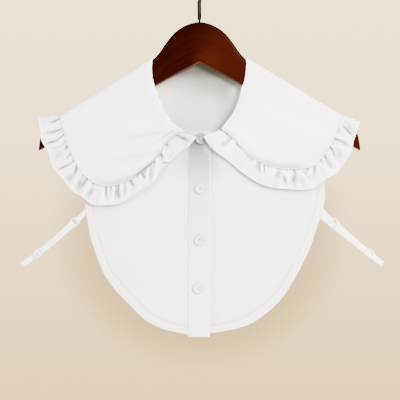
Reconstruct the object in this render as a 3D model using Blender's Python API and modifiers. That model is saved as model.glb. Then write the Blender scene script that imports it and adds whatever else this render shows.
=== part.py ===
"""Detachable ruffled collar buttoned on a wooden hanger.

Lengths are millimetres in the tables and metres in the meshes. +Z is up, the
front faces -Y, and the origin is the inner top of the hanger's hook.

Every cloth piece is the same draped surface moved outwards by its own lift.
A place on that surface is given by x and by drop: the distance along the
cloth from the shoulder line, positive down the front and negative down the
back.
"""
import math

import bpy
from mathutils import Vector

MM = 0.001
OBJECT_NAME = "detachable_collar_on_hanger"

# The draped surface.
RIDGE_TOP = -75.3
RIDGE_SLOPE = 0.63
RIDGE_ROUND = 20.0
ROLL = 7.0
HANG_START = 35.0
HANG_END = 230.0
HANG_DEPTH = 3.6
SOFT_FOLD = 0.5
ROLL_STEP = 0.31

# Walls and lifts of the layers, the lift being that of the wall's middle.
PANEL_WALL = 1.0
PLACKET_WALL = 1.2
PLACKET_LIFT = 1.4
LEAF_WALL = 1.2
LEAF_LIFT = 1.55
LEAF_SEAM_LIFT = 2.6
LEAF_STEP = 14.0
PANEL_STEP = 21.0
ROLL_LIFT = 0.3
NECK_ROLL = 1.7
NECK_ROLL_AT = 7.0
RUFFLE_WALL = 1.0
RUFFLE_MID_LIFT = 3.7
RUFFLE_HEM_LIFT = 4.2
SEAM_GAP = 0.9

# The ruffle's gathers.
WAVE_PITCH = 12.6
WAVE_STEPS = 6
ROOT_WAVE = 1.0
MID_WAVE = 2.0
HEM_WAVE = 1.7
HEM_SCALLOP = 0.9

# One collar leaf with its ruffle, a row per gather group from the centre
# front to the shoulder line. The columns are named below.
LEAF_COLUMNS = ("neck_x", "neck_drop", "seam_x", "seam_drop", "hem_x", "hem_drop", "stand")
RIGHT_FRONT_ROWS = (
    (-21.0, 116.0, -23.5, 117.0, -3.5, 129.0, 0.0),
    (-24.0, 112.5, -30.5, 117.0, -11.5, 138.5, 0.0),
    (-28.5, 107.5, -38.0, 119.0, -22.5, 140.5, 0.0),
    (-33.0, 101.5, -44.0, 122.0, -33.5, 144.0, 0.0),
    (-36.5, 95.5, -49.0, 128.0, -41.0, 148.5, 0.0),
    (-39.5, 89.0, -56.5, 133.5, -49.5, 157.5, 0.0),
    (-42.5, 82.5, -64.5, 137.0, -59.5, 162.0, 0.0),
    (-45.5, 76.0, -75.0, 139.5, -72.0, 162.0, 0.0),
    (-48.0, 69.5, -88.5, 138.0, -86.5, 162.0, 0.0),
    (-50.0, 63.0, -100.5, 135.0, -102.0, 159.0, 0.0),
    (-52.5, 56.5, -113.0, 130.0, -118.0, 151.0, 0.0),
    (-54.0, 49.0, -126.5, 119.0, -136.0, 135.5, 0.0),
    (-55.5, 41.5, -138.0, 105.5, -151.5, 115.5, 0.0),
    (-56.5, 34.5, -148.0, 89.0, -167.0, 91.0, 0.5),
    (-57.0, 27.5, -156.0, 69.0, -178.0, 69.5, 1.0),
    (-57.5, 20.5, -163.5, 48.5, -187.5, 44.0, 2.0),
    (-58.0, 14.0, -168.0, 29.5, -192.5, 22.5, 4.0),
    (-58.0, 8.5, -172.0, 11.5, -193.5, 9.0, 7.0),
    (-57.5, 0.0, -173.5, 0.0, -192.0, 0.0, 9.0),
)
LEFT_FRONT_ROWS = (
    (27.5, 110.0, 29.0, 111.0, 5.5, 128.0, 0.0),
    (31.5, 103.0, 35.5, 112.0, 12.0, 135.5, 0.0),
    (35.0, 96.5, 43.0, 115.0, 21.5, 141.5, 0.0),
    (38.5, 90.5, 51.0, 119.5, 33.0, 144.5, 0.0),
    (41.5, 84.5, 60.0, 124.0, 46.0, 149.0, 0.0),
    (44.0, 79.0, 70.0, 124.0, 59.5, 153.5, 0.0),
    (46.0, 73.0, 80.5, 122.5, 74.0, 151.5, 0.0),
    (48.0, 67.5, 92.5, 119.0, 89.0, 147.0, 0.0),
    (49.5, 62.0, 105.5, 113.0, 105.5, 138.5, 0.0),
    (51.0, 56.5, 120.0, 104.0, 123.0, 127.5, 0.0),
    (52.0, 51.0, 133.5, 94.5, 140.5, 114.5, 0.0),
    (53.0, 45.5, 144.0, 83.5, 156.0, 97.5, 0.0),
    (54.5, 39.5, 150.5, 71.5, 168.5, 81.5, 0.0),
    (56.0, 33.5, 157.5, 59.0, 179.5, 64.0, 0.5),
    (56.5, 28.0, 164.0, 45.0, 188.0, 45.0, 1.0),
    (57.0, 21.5, 169.0, 31.0, 192.5, 29.0, 1.5),
    (57.5, 15.0, 172.0, 20.0, 195.0, 15.5, 2.0),
    (57.0, 8.5, 174.0, 9.0, 196.0, 6.0, 2.5),
    (56.5, 0.0, 175.0, 0.0, 196.0, -1.0, 3.0),
)
# The same columns down the back, from just behind the shoulder line to the
# centre back, alike on both sides.
BACK_ROWS = (
    (56.0, -8.0, 172.5, -15.5, 193.5, -12.0, 4.0),
    (55.0, -10.0, 170.0, -29.0, 192.0, -25.5, 3.0),
    (52.5, -12.0, 165.5, -43.5, 185.0, -44.0, 2.0),
    (48.5, -14.0, 158.5, -59.0, 175.0, -64.5, 1.0),
    (44.5, -16.5, 149.0, -74.0, 161.0, -83.5, 0.0),
    (40.0, -19.5, 137.0, -88.0, 145.0, -102.0, 0.0),
    (35.5, -22.5, 123.0, -100.5, 127.5, -118.0, 0.0),
    (30.5, -25.0, 108.0, -112.0, 110.0, -132.5, 0.0),
    (25.5, -27.0, 91.0, -124.0, 91.5, -146.0, 0.0),
    (20.5, -28.5, 73.0, -135.0, 73.0, -157.5, 0.0),
    (15.5, -30.0, 55.0, -146.0, 55.0, -168.5, 0.0),
    (10.5, -31.0, 36.5, -157.0, 36.5, -179.5, 0.0),
    (5.5, -31.5, 18.5, -166.0, 18.5, -188.5, 0.0),
    (0.8, -32.0, 0.8, -169.0, 1.0, -192.0, 0.0),
)

# The body panels, a row per ray from the shoulder round the armhole to the
# hem. The inner edge follows the neckline and then the centre edge.
PANEL_COLUMNS = ("inner_x", "inner_drop", "outer_x", "outer_drop")
FRONT_RIGHT_ROWS = (
    (-58.5, 0.0, -138.0, 0.0),
    (-58.8, 14.5, -139.5, 24.5),
    (-58.5, 29.5, -141.0, 49.0),
    (-56.5, 47.0, -142.0, 73.0),
    (-52.0, 65.0, -142.6, 96.0),
    (-45.0, 82.0, -142.8, 117.5),
    (-34.0, 98.0, -141.9, 136.0),
    (-20.0, 116.0, -139.0, 157.0),
    (-12.9, 119.0, -134.8, 180.5),
    (-12.9, 138.5, -128.5, 203.5),
    (-12.9, 163.5, -119.0, 233.5),
    (-12.9, 188.5, -106.0, 263.0),
    (-12.9, 213.5, -88.0, 293.0),
    (-12.9, 238.5, -67.0, 324.0),
    (-12.9, 263.5, -46.0, 347.0),
    (-12.9, 288.5, -28.0, 361.5),
    (-12.9, 311.5, -12.9, 371.5),
)
FRONT_LEFT_ROWS = (
    (58.5, 0.0, 141.0, 0.0),
    (58.9, 14.5, 145.0, 21.5),
    (58.6, 29.5, 149.0, 41.0),
    (56.0, 45.5, 152.5, 61.5),
    (52.5, 63.0, 154.8, 82.5),
    (46.0, 80.0, 155.5, 102.0),
    (36.0, 96.5, 154.8, 123.5),
    (24.0, 112.0, 150.0, 146.0),
    (10.0, 119.5, 143.5, 168.0),
    (-2.0, 120.8, 137.0, 191.5),
    (-12.3, 119.0, 128.0, 216.0),
    (-12.3, 148.0, 117.0, 243.5),
    (-12.3, 178.0, 102.0, 275.5),
    (-12.3, 208.0, 82.0, 307.0),
    (-12.3, 238.0, 62.0, 334.0),
    (-12.3, 268.0, 36.0, 355.5),
    (-12.3, 295.0, 12.0, 369.0),
    (-12.3, 321.0, -12.3, 369.5),
)
BACK_PANEL_ROWS = (
    (58.5, -0.5, 139.0, -0.5),
    (56.0, -9.5, 141.0, -28.0),
    (50.0, -13.5, 142.0, -52.0),
    (42.0, -18.0, 142.5, -76.0),
    (33.0, -23.5, 142.0, -100.0),
    (23.0, -28.0, 141.0, -123.0),
    (12.0, -31.0, 138.5, -146.0),
    (0.0, -32.0, 134.0, -168.0),
    (0.0, -60.0, 126.0, -196.0),
    (0.0, -90.0, 114.0, -226.0),
    (0.0, -120.0, 99.0, -257.0),
    (0.0, -150.0, 80.0, -288.0),
    (0.0, -180.0, 60.0, -315.0),
    (0.0, -210.0, 40.0, -336.0),
    (0.0, -240.0, 20.0, -351.0),
    (0.0, -268.0, 0.0, -358.0),
)

# The two fronts' centre edges, both under the placket strip.
PANEL_EDGE_RIGHT = -12.9
PANEL_EDGE_LEFT = -12.3

# The placket strip down the centre front.
PLACKET_LEFT_X = -13.7
PLACKET_RIGHT_X = 12.8
PLACKET_TOP_Z = -205.0
PLACKET_BOTTOM_Z = -460.2

# The buttons, from the top one down.
BUTTON_COLUMNS = ("x", "z")
BUTTON_ROWS = (
    (1.6, -214.6),
    (1.2, -276.2),
    (0.6, -340.1),
    (-1.2, -399.8),
)
BUTTON_LIFT = 2.35
BUTTON_PROFILE = (
    (0.0, 0.0),
    (6.0, 0.0),
    (6.9, 1.0),
    (6.2, 2.0),
    (5.3, 2.0),
    (4.5, 1.25),
    (0.0, 1.2),
)
BUTTON_STEPS = 16
BUTTON_HOLE = 0.8
BUTTON_HOLE_AT = 1.7

# Soft ridges pressed in the leaves, x and drop of the two ends.
FOLD_COLUMNS = ("from_x", "from_drop", "to_x", "to_drop", "height", "width")
LEAF_FOLDS = (
    (-26.0, 106.0, -150.0, 33.0, 1.1, 6.0),
    (-44.0, 118.0, -152.0, 70.0, 0.9, 7.0),
    (-56.0, 131.0, -118.0, 116.0, 0.8, 5.0),
    (40.0, 104.0, 76.0, 112.0, 1.0, 6.0),
    (62.0, 60.0, 150.0, 40.0, 0.7, 10.0),
)

# The straps at the sides: the line that they follow in the front view.
STRAP_WIDTH = 6.8
STRAP_WALL = 0.9
RIGHT_STRAP = {"side": -1, "start": (-139.0, -302.5), "ring": (-155.5, -318.0), "slider": (-200.5, -356.4), "end": (-221.5, -371.6)}
LEFT_STRAP = {"side": 1, "start": (150.5, -302.0), "ring": (167.5, -319.0), "slider": (211.0, -356.4), "end": (227.5, -369.8)}
STRAP_FRONT_Y = -8.4
STRAP_BACK_Y = 7.8
WIRE = 0.7

# The hanger's shaped board, a row per section from the middle to the tip.
HANGER_COLUMNS = ("x", "top", "bottom", "half_depth")
HANGER_ROWS = (
    (0.0, -70.0, -120.2, 6.0),
    (5.0, -70.5, -121.8, 6.0),
    (10.0, -71.8, -124.2, 6.0),
    (15.5, -74.0, -126.9, 6.0),
    (20.5, -76.9, -129.5, 6.0),
    (25.5, -80.4, -132.1, 6.0),
    (29.5, -83.6, -134.3, 6.0),
    (33.5, -87.6, -136.4, 6.0),
    (37.5, -92.2, -138.6, 6.0),
    (41.5, -97.6, -140.8, 6.0),
    (45.5, -103.8, -143.0, 6.0),
    (49.5, -109.6, -145.2, 6.0),
    (53.5, -113.9, -147.4, 6.0),
    (58.5, -117.8, -150.1, 6.0),
    (70.0, -125.0, -156.4, 6.0),
    (90.0, -136.9, -167.4, 6.0),
    (115.0, -151.7, -181.2, 6.0),
    (140.0, -166.7, -195.2, 6.0),
    (162.0, -180.0, -207.7, 6.0),
    (180.0, -191.0, -217.9, 6.0),
    (189.0, -196.8, -223.0, 6.0),
    (193.5, -200.8, -225.6, 5.8),
    (196.6, -206.6, -227.3, 5.4),
    (198.8, -216.0, -228.5, 4.6),
    (200.2, -225.0, -229.2, 3.2),
)
HANGER_ROUND = 4.8

# The hook: a straight shank, a bend and an open round crook.
HOOK_WIRE = 2.0
HOOK_NECK_WIRE = 1.3
HOOK_RADIUS = 20.0
HOOK_START_DEG = -62.0
HOOK_END_DEG = 205.0


def clear_scene():
    for item in list(bpy.data.objects):
        bpy.data.objects.remove(item, do_unlink=True)


def make_collections():
    main = bpy.data.collections.new(OBJECT_NAME)
    cutters = bpy.data.collections.new("cutters")
    bpy.context.scene.collection.children.link(main)
    bpy.context.scene.collection.children.link(cutters)
    cutters.hide_render = True
    return main, cutters


def make_material(name, colour, roughness, metallic=0.0):
    material = bpy.data.materials.new(name)
    material.use_nodes = True
    shader = material.node_tree.nodes["Principled BSDF"]
    shader.inputs["Base Color"].default_value = (colour[0], colour[1], colour[2], 1.0)
    shader.inputs["Roughness"].default_value = roughness
    shader.inputs["Metallic"].default_value = metallic
    material.diffuse_color = (colour[0], colour[1], colour[2], 1.0)
    return material


def smooth_step(low, high, value):
    t = min(1.0, max(0.0, (value - low) / (high - low)))
    return t * t * (3.0 - 2.0 * t)


def bump(distance, width):
    return math.exp(-((distance / width) ** 2))


def catmull(a, b, c, d, t):
    return 0.5 * (2.0 * b + (c - a) * t + (2.0 * a - 5.0 * b + 4.0 * c - d) * t * t + (3.0 * b - a - 3.0 * c + d) * t ** 3)


def row_value(rows, column, at):
    last = len(rows) - 1
    at = min(float(last), max(0.0, at))
    i = min(last - 1, int(at))
    before = rows[max(0, i - 1)][column]
    after = rows[min(last, i + 2)][column]
    return catmull(before, rows[i][column], rows[i + 1][column], after, at - i)


def roll_angle(drop):
    return min(math.pi / 2.0, max(-math.pi / 2.0, drop / ROLL))


def stations(rows, pairs, longest):
    """Places along the rows, closer together where the cloth rolls over."""
    fine = 24
    found = [0.0]
    marks = None
    for k in range((len(rows) - 1) * fine + 1):
        at = k / fine
        now = [(row_value(rows, a, at), row_value(rows, b, at)) for a, b in pairs]
        if marks is None:
            marks = now
        for (x, drop), (mark_x, mark_drop) in zip(now, marks):
            far = math.hypot(x - mark_x, drop - mark_drop) > longest
            if far or abs(roll_angle(drop) - roll_angle(mark_drop)) > ROLL_STEP:
                found.append((k - 1) / fine)
                marks = [(row_value(rows, a, found[-1]), row_value(rows, b, found[-1])) for a, b in pairs]
                break
    last = float(len(rows) - 1)
    if last - found[-1] < 0.25 and len(found) > 1:
        found.pop()
    found.append(last)
    return found


def shoulder_line(x):
    return RIDGE_TOP - RIDGE_SLOPE * math.hypot(x, RIDGE_ROUND)


def body_point(x, drop):
    """A point of the draped surface, in millimetres."""
    side = 1.0 if drop >= 0.0 else -1.0
    along = abs(drop)
    quarter = ROLL * math.pi / 2.0
    if along < quarter:
        angle = along / ROLL
        out = ROLL * math.sin(angle)
        fall = ROLL * (1.0 - math.cos(angle))
    else:
        out = ROLL
        fall = ROLL + along - quarter
    hang = smooth_step(HANG_START, HANG_END, along)
    out += HANG_DEPTH * hang * (1.0 - 0.35 * (x / 155.0) ** 2)
    out += SOFT_FOLD * hang * math.sin(x / 17.0 + side) * math.cos(x / 53.0)
    return Vector((x, -side * out, shoulder_line(x) - fall))


def outward(x, drop):
    step = 0.4
    across = body_point(x + step, drop) - body_point(x - step, drop)
    down = body_point(x, drop + step) - body_point(x, drop - step)
    return down.cross(across).normalized()


def cloth_point(x, drop, lift):
    return (body_point(x, drop) + outward(x, drop) * lift) * MM


def segment_distance(x, drop, fold):
    from_x, from_drop, to_x, to_drop = fold[0:4]
    run_x = to_x - from_x
    run_drop = to_drop - from_drop
    t = ((x - from_x) * run_x + (drop - from_drop) * run_drop) / (run_x ** 2 + run_drop ** 2)
    held = min(1.0, max(0.0, t))
    away = math.hypot(x - from_x - held * run_x, drop - from_drop - held * run_drop)
    return away, math.sin(math.pi * (0.12 + 0.76 * held))


def front_rise(x, drop):
    """What lies on the placket's top and its button is lifted clear of them."""
    over_placket = 1.0 - smooth_step(10.0, 34.0, abs(x))
    return 4.2 * over_placket * bump(drop - 124.0, 34.0) if drop > 0.0 else 0.0


def leaf_lift(x, drop, from_neck, from_seam):
    lift = LEAF_LIFT + NECK_ROLL * bump(from_neck - NECK_ROLL_AT, 9.0)
    lift += (LEAF_SEAM_LIFT - LEAF_LIFT) * bump(from_seam, 11.0)
    lift += ROLL_LIFT * bump(drop, 16.0)
    for fold in LEAF_FOLDS:
        away, share = segment_distance(x, drop, fold)
        lift += fold[4] * share * bump(away, fold[5])
    return lift + front_rise(x, drop)


def add_sheet(name, rows, wall, material, collection, mirror=False):
    """An open grid of points, given its wall by Solidify."""
    count = len(rows[0])
    points = [point for row in rows for point in row]
    faces = []
    for i in range(len(rows) - 1):
        for j in range(count - 1):
            a = i * count + j
            faces.append((a, a + 1, a + count + 1, a + count))
    mesh = bpy.data.meshes.new(name)
    mesh.from_pydata(points, [], faces)
    mesh.validate()
    sheet = bpy.data.objects.new(name, mesh)
    collection.objects.link(sheet)
    mesh.materials.append(material)
    mesh.shade_smooth()
    if mirror:
        half = sheet.modifiers.new("other_half", "MIRROR")
        half.use_axis = (True, False, False)
        half.use_clip = True
        half.use_mirror_merge = True
        half.merge_threshold = 0.00005
    solid = sheet.modifiers.new("wall", "SOLIDIFY")
    solid.thickness = wall * MM
    solid.offset = 0.0
    return sheet


def leaf_rows(front_rows, side):
    back = tuple((side * r[0], r[1], side * r[2], r[3], side * r[4], r[5], r[6]) for r in BACK_ROWS)
    return front_rows + back


def add_leaf(name, rows, material, collection):
    grid = []
    across = (0.0, 0.08, 0.25, 0.58, 0.87, 1.0)
    for at in stations(rows, ((0, 1), (2, 3)), LEAF_STEP):
        neck_x, neck_drop, seam_x, seam_drop = (row_value(rows, k, at) for k in range(4))
        width = math.hypot(seam_x - neck_x, seam_drop - neck_drop)
        line = []
        for share in across:
            x = neck_x + (seam_x - neck_x) * share
            drop = neck_drop + (seam_drop - neck_drop) * share
            line.append(cloth_point(x, drop, leaf_lift(x, drop, width * share, width * (1.0 - share))))
        grid.append(line)
    return add_sheet(name, grid, LEAF_WALL, material, collection)


def seam_lengths(rows, parts):
    """Length along the seam at evenly spaced places of the rows."""
    last = len(rows) - 1
    lengths = [0.0]
    before = None
    for i in range(last * parts + 1):
        at = i / parts
        place = (row_value(rows, 2, at), row_value(rows, 3, at))
        if before is not None:
            lengths.append(lengths[-1] + math.hypot(place[0] - before[0], place[1] - before[1]))
        before = place
    return lengths


def seam_place(rows, found, at):
    """The leaf's own edge, straight between its stations."""
    for low, high in zip(found, found[1:]):
        if at <= high:
            share = (at - low) / (high - low)
            low_place = [row_value(rows, k, low) for k in (2, 3)]
            high_place = [row_value(rows, k, high) for k in (2, 3)]
            return [a + (b - a) * share for a, b in zip(low_place, high_place)]
    return [row_value(rows, k, found[-1]) for k in (2, 3)]


def row_at_length(lengths, parts, length):
    for i in range(len(lengths) - 1):
        if lengths[i + 1] >= length:
            span = max(1e-6, lengths[i + 1] - lengths[i])
            return (i + (length - lengths[i]) / span) / parts
    return (len(lengths) - 1) / parts


def wave_turn(length, shift):
    uneven = 0.30 * math.sin(length / 9.7 + shift) + 0.24 * math.sin(length / 5.9 + 2.0 * shift)
    return 2.0 * math.pi * (length / WAVE_PITCH + 0.16 * uneven) + shift


def wave_strength(length, shift):
    return 0.86 + 0.2 * math.sin(length / 13.0 + shift) + 0.12 * math.sin(length / 31.0 - shift)


def add_ruffle(name, rows, shift, across, material, collection):
    parts = 8
    lengths = seam_lengths(rows, parts)
    total = lengths[-1]
    columns = int(total / WAVE_PITCH * WAVE_STEPS)
    found = stations(rows, ((0, 1), (2, 3)), LEAF_STEP)
    grid = []
    for i in range(columns + 1):
        length = total * i / columns
        at = row_at_length(lengths, parts, length)
        seam_x, seam_drop = seam_place(rows, found, at)
        hem_x, hem_drop, stand = (row_value(rows, k, at) for k in range(4, 7))
        reach = math.hypot(hem_x - seam_x, hem_drop - seam_drop)
        turn = wave_turn(length, shift)
        strength = wave_strength(length, shift)
        ends = smooth_step(0.0, 14.0, length) * smooth_step(0.0, 10.0, total - length)
        strength *= 0.25 + 0.75 * ends
        line = []
        for share in across:
            grown = SEAM_GAP / reach + share * (1.0 - SEAM_GAP / reach)
            grown += share * HEM_SCALLOP / reach * math.cos(turn + 0.6) * strength
            x = seam_x + (hem_x - seam_x) * grown
            drop = seam_drop + (hem_drop - seam_drop) * grown
            if share < 0.35:
                size = ROOT_WAVE + (MID_WAVE - ROOT_WAVE) * share / 0.35
                lift = LEAF_SEAM_LIFT + (RUFFLE_MID_LIFT - LEAF_SEAM_LIFT) * share / 0.35
            else:
                size = MID_WAVE + (HEM_WAVE - MID_WAVE) * (share - 0.35) / 0.65
                lift = RUFFLE_MID_LIFT + (RUFFLE_HEM_LIFT - RUFFLE_MID_LIFT) * (share - 0.35) / 0.65
            lift += stand * share ** 1.3 + front_rise(x, drop)
            lift += size * strength * math.sin(turn)
            line.append(cloth_point(x, drop, lift))
        grid.append(line)
    return add_sheet(name, grid, RUFFLE_WALL, material, collection)


def add_panel(name, rows, low_x, high_x, across, material, collection, mirror=False):
    grid = []
    for at in stations(rows, ((0, 1), (2, 3)), PANEL_STEP):
        inner_x, inner_drop, outer_x, outer_drop = (row_value(rows, k, at) for k in range(4))
        inner_x = min(high_x, max(low_x, inner_x))
        outer_x = min(high_x, max(low_x, outer_x))
        line = []
        for j in range(across + 1):
            share = j / across
            x = inner_x + (outer_x - inner_x) * share
            drop = inner_drop + (outer_drop - inner_drop) * share
            point = cloth_point(x, drop, 0.0)
            if mirror and abs(x) < 0.01:
                point.x = 0.0
            line.append(point)
        grid.append(line)
    return add_sheet(name, grid, PANEL_WALL, material, collection, mirror)


def add_placket(material, collection):
    grid = []
    steps = 18
    for i in range(steps + 1):
        z = PLACKET_TOP_Z + (PLACKET_BOTTOM_Z - PLACKET_TOP_Z) * i / steps
        line = []
        for j in range(5):
            x = PLACKET_LEFT_X + (PLACKET_RIGHT_X - PLACKET_LEFT_X) * j / 4
            line.append(cloth_point(x, drop_at(x, z), PLACKET_LIFT))
        grid.append(line)
    return add_sheet("placket", grid, PLACKET_WALL, material, collection)


def drop_at(x, z):
    return shoulder_line(x) - z - ROLL + ROLL * math.pi / 2.0


def add_button(number, x, z, material, collection, cutters):
    drop = drop_at(x, z)
    place = cloth_point(x, drop, BUTTON_LIFT)
    mesh = bpy.data.meshes.new("button_%d" % number)
    points = [(r * MM, -h * MM, 0.0) for r, h in BUTTON_PROFILE]
    mesh.from_pydata(points, [(i, i + 1) for i in range(len(points) - 1)], [])
    button = bpy.data.objects.new("button_%d" % number, mesh)
    collection.objects.link(button)
    mesh.materials.append(material)
    button.location = place
    turn = button.modifiers.new("turned", "SCREW")
    turn.axis = "Y"
    turn.steps = BUTTON_STEPS
    turn.render_steps = BUTTON_STEPS
    turn.use_merge_vertices = True
    turn.merge_threshold = 0.00001
    turn.use_normal_calculate = True
    holes = button.modifiers.new("holes", "BOOLEAN")
    holes.operation = "DIFFERENCE"
    holes.solver = "EXACT"
    holes.object = add_hole_cutter(number, place, cutters)
    return button


def add_hole_cutter(number, place, cutters):
    points = []
    faces = []
    sides = 6
    for k in range(4):
        angle = math.pi / 2.0 * k
        centre_x = BUTTON_HOLE_AT * math.cos(angle)
        centre_z = BUTTON_HOLE_AT * math.sin(angle)
        start = len(points)
        for depth in (1.5, -3.5):
            for s in range(sides):
                turn = 2.0 * math.pi * s / sides
                x = centre_x + BUTTON_HOLE * math.cos(turn)
                z = centre_z + BUTTON_HOLE * math.sin(turn)
                points.append((x * MM, depth * MM, z * MM))
        faces.append(tuple(start + s for s in reversed(range(sides))))
        faces.append(tuple(start + sides + s for s in range(sides)))
        for s in range(sides):
            n = (s + 1) % sides
            faces.append((start + s, start + n, start + sides + n, start + sides + s))
    mesh = bpy.data.meshes.new("button_%d_holes" % number)
    mesh.from_pydata(points, [], faces)
    cutter = bpy.data.objects.new("button_%d_holes" % number, mesh)
    cutters.objects.link(cutter)
    cutter.location = place
    cutter.display_type = "WIRE"
    cutter.hide_render = True
    return cutter


def hanger_section(side, row):
    """One rounded section of the board, twelve points round."""
    x, top, bottom, half_depth = row
    half = (top - bottom) / 2.0
    middle = (top + bottom) / 2.0
    round_y = min(HANGER_ROUND, half_depth * 0.8)
    round_z = min(HANGER_ROUND * 1.15, half * 0.9)
    points = []
    for corner_y, corner_z, start in ((1, 1, 0), (-1, 1, 90), (-1, -1, 180), (1, -1, 270)):
        for step in (0, 45, 90):
            angle = math.radians(start + step)
            y = corner_y * (half_depth - round_y) + round_y * math.cos(angle)
            z = corner_z * (half - round_z) + round_z * math.sin(angle)
            points.append((side * x * MM, y * MM, (middle + z) * MM))
    return points


def add_hanger(material, collection):
    sections = [hanger_section(-1, row) for row in reversed(HANGER_ROWS)]
    sections += [hanger_section(1, row) for row in HANGER_ROWS[1:]]
    points = [point for section in sections for point in section]
    around = len(sections[0])
    faces = [tuple(reversed(range(around))), tuple(range(len(points) - around, len(points)))]
    for i in range(len(sections) - 1):
        for j in range(around):
            n = (j + 1) % around
            a = i * around
            faces.append((a + j, a + n, a + around + n, a + around + j))
    mesh = bpy.data.meshes.new("hanger")
    mesh.from_pydata(points, [], faces)
    mesh.validate()
    hanger = bpy.data.objects.new("hanger", mesh)
    collection.objects.link(hanger)
    mesh.materials.append(material)
    mesh.shade_smooth()
    mesh.set_sharp_from_angle(angle=math.radians(50.0))
    return hanger


def add_wire(name, path, radius, sizes, closed, material, collection):
    data = bpy.data.curves.new(name, "CURVE")
    data.dimensions = "3D"
    data.bevel_depth = radius * MM
    data.bevel_resolution = 2
    data.use_fill_caps = True
    spline = data.splines.new("POLY")
    spline.points.add(len(path) - 1)
    for point, place, size in zip(spline.points, path, sizes):
        point.co = (place[0] * MM, place[1] * MM, place[2] * MM, 1.0)
        point.radius = size
    spline.use_cyclic_u = closed
    wire = bpy.data.objects.new(name, data)
    collection.objects.link(wire)
    data.materials.append(material)
    spline.use_smooth = True
    return wire


def hook_path():
    """The shank from the crown upwards, then the bend and the crook."""
    neck = HOOK_NECK_WIRE / HOOK_WIRE
    path = [((0.0, 0.0, -69.65), neck), ((0.0, 0.0, -66.2), neck), ((0.0, 0.0, -65.2), 1.0), ((0.0, 0.0, -44.5), 1.0)]
    centre_z = -HOOK_RADIUS + HOOK_WIRE
    start = math.radians(HOOK_START_DEG)
    joins = (HOOK_RADIUS * math.cos(start), centre_z + HOOK_RADIUS * math.sin(start))
    for share in (0.25, 0.5, 0.75):
        bend_x = joins[0] * share * share
        bend_z = -44.5 + (joins[1] + 44.5) * (1.0 - (1.0 - share) ** 1.25)
        path.append(((bend_x, 0.0, bend_z), 1.0))
    steps = 21
    for i in range(steps + 1):
        angle = math.radians(HOOK_START_DEG + (HOOK_END_DEG - HOOK_START_DEG) * i / steps)
        path.append(((HOOK_RADIUS * math.cos(angle), 0.0, centre_z + HOOK_RADIUS * math.sin(angle)), 1.0))
    tip = path[-1][0]
    angle = math.radians(HOOK_END_DEG)
    for reach, size in ((1.0, 0.8), (1.7, 0.4)):
        path.append(((tip[0] - reach * math.sin(angle), 0.0, tip[2] + reach * math.cos(angle)), size))
    return [p for p, s in path], [s for p, s in path]


def strap_axes(strap):
    """Unit steps along the strap and across it, in the front view."""
    start = Vector((strap["ring"][0], 0.0, strap["ring"][1]))
    end = Vector((strap["end"][0], 0.0, strap["end"][1]))
    along = (end - start).normalized()
    across = Vector((-along.z, 0.0, along.x)) * strap["side"]
    return along, across


def add_band(name, centres, across, width, wall, material, collection):
    """A flat band: the centres are joined and widened across."""
    grid = []
    for centre in centres:
        grid.append([(centre + across * width * s) * MM for s in (-0.5, 0.0, 0.5)])
    return add_sheet(name, grid, wall, material, collection)


def turn_points(centre, along, radius, steps):
    """Half a turn round the wire at centre, from its front to its back."""
    points = []
    for i in range(steps + 1):
        angle = math.pi * i / steps
        points.append(centre + along * radius * math.sin(angle) + Vector((0.0, -radius * math.cos(angle), 0.0)))
    return points


def loop_path(centre, along, across, half_run, half_rise):
    """A rectangle with cut corners round a centre."""
    run_in = half_run - 1.3
    rise_in = half_rise - 1.3
    near_run = half_run - 0.4
    near_rise = half_rise - 0.4
    quarter = ((half_run, rise_in), (near_run, near_rise), (run_in, half_rise))
    path = []
    for sign_run, sign_rise in ((1, 1), (-1, 1), (-1, -1), (1, -1)):
        places = quarter if sign_run == sign_rise else tuple(reversed(quarter))
        for run, rise in places:
            path.append(centre + along * run * sign_run + across * rise * sign_rise)
    return path


def inside_point(x, z, side):
    """A band's middle just inside a panel, in millimetres."""
    under = PANEL_WALL * 0.5 + 0.6 + STRAP_WALL * 0.5
    return cloth_point(x, side * drop_at(x, z), -under) / MM


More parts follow.
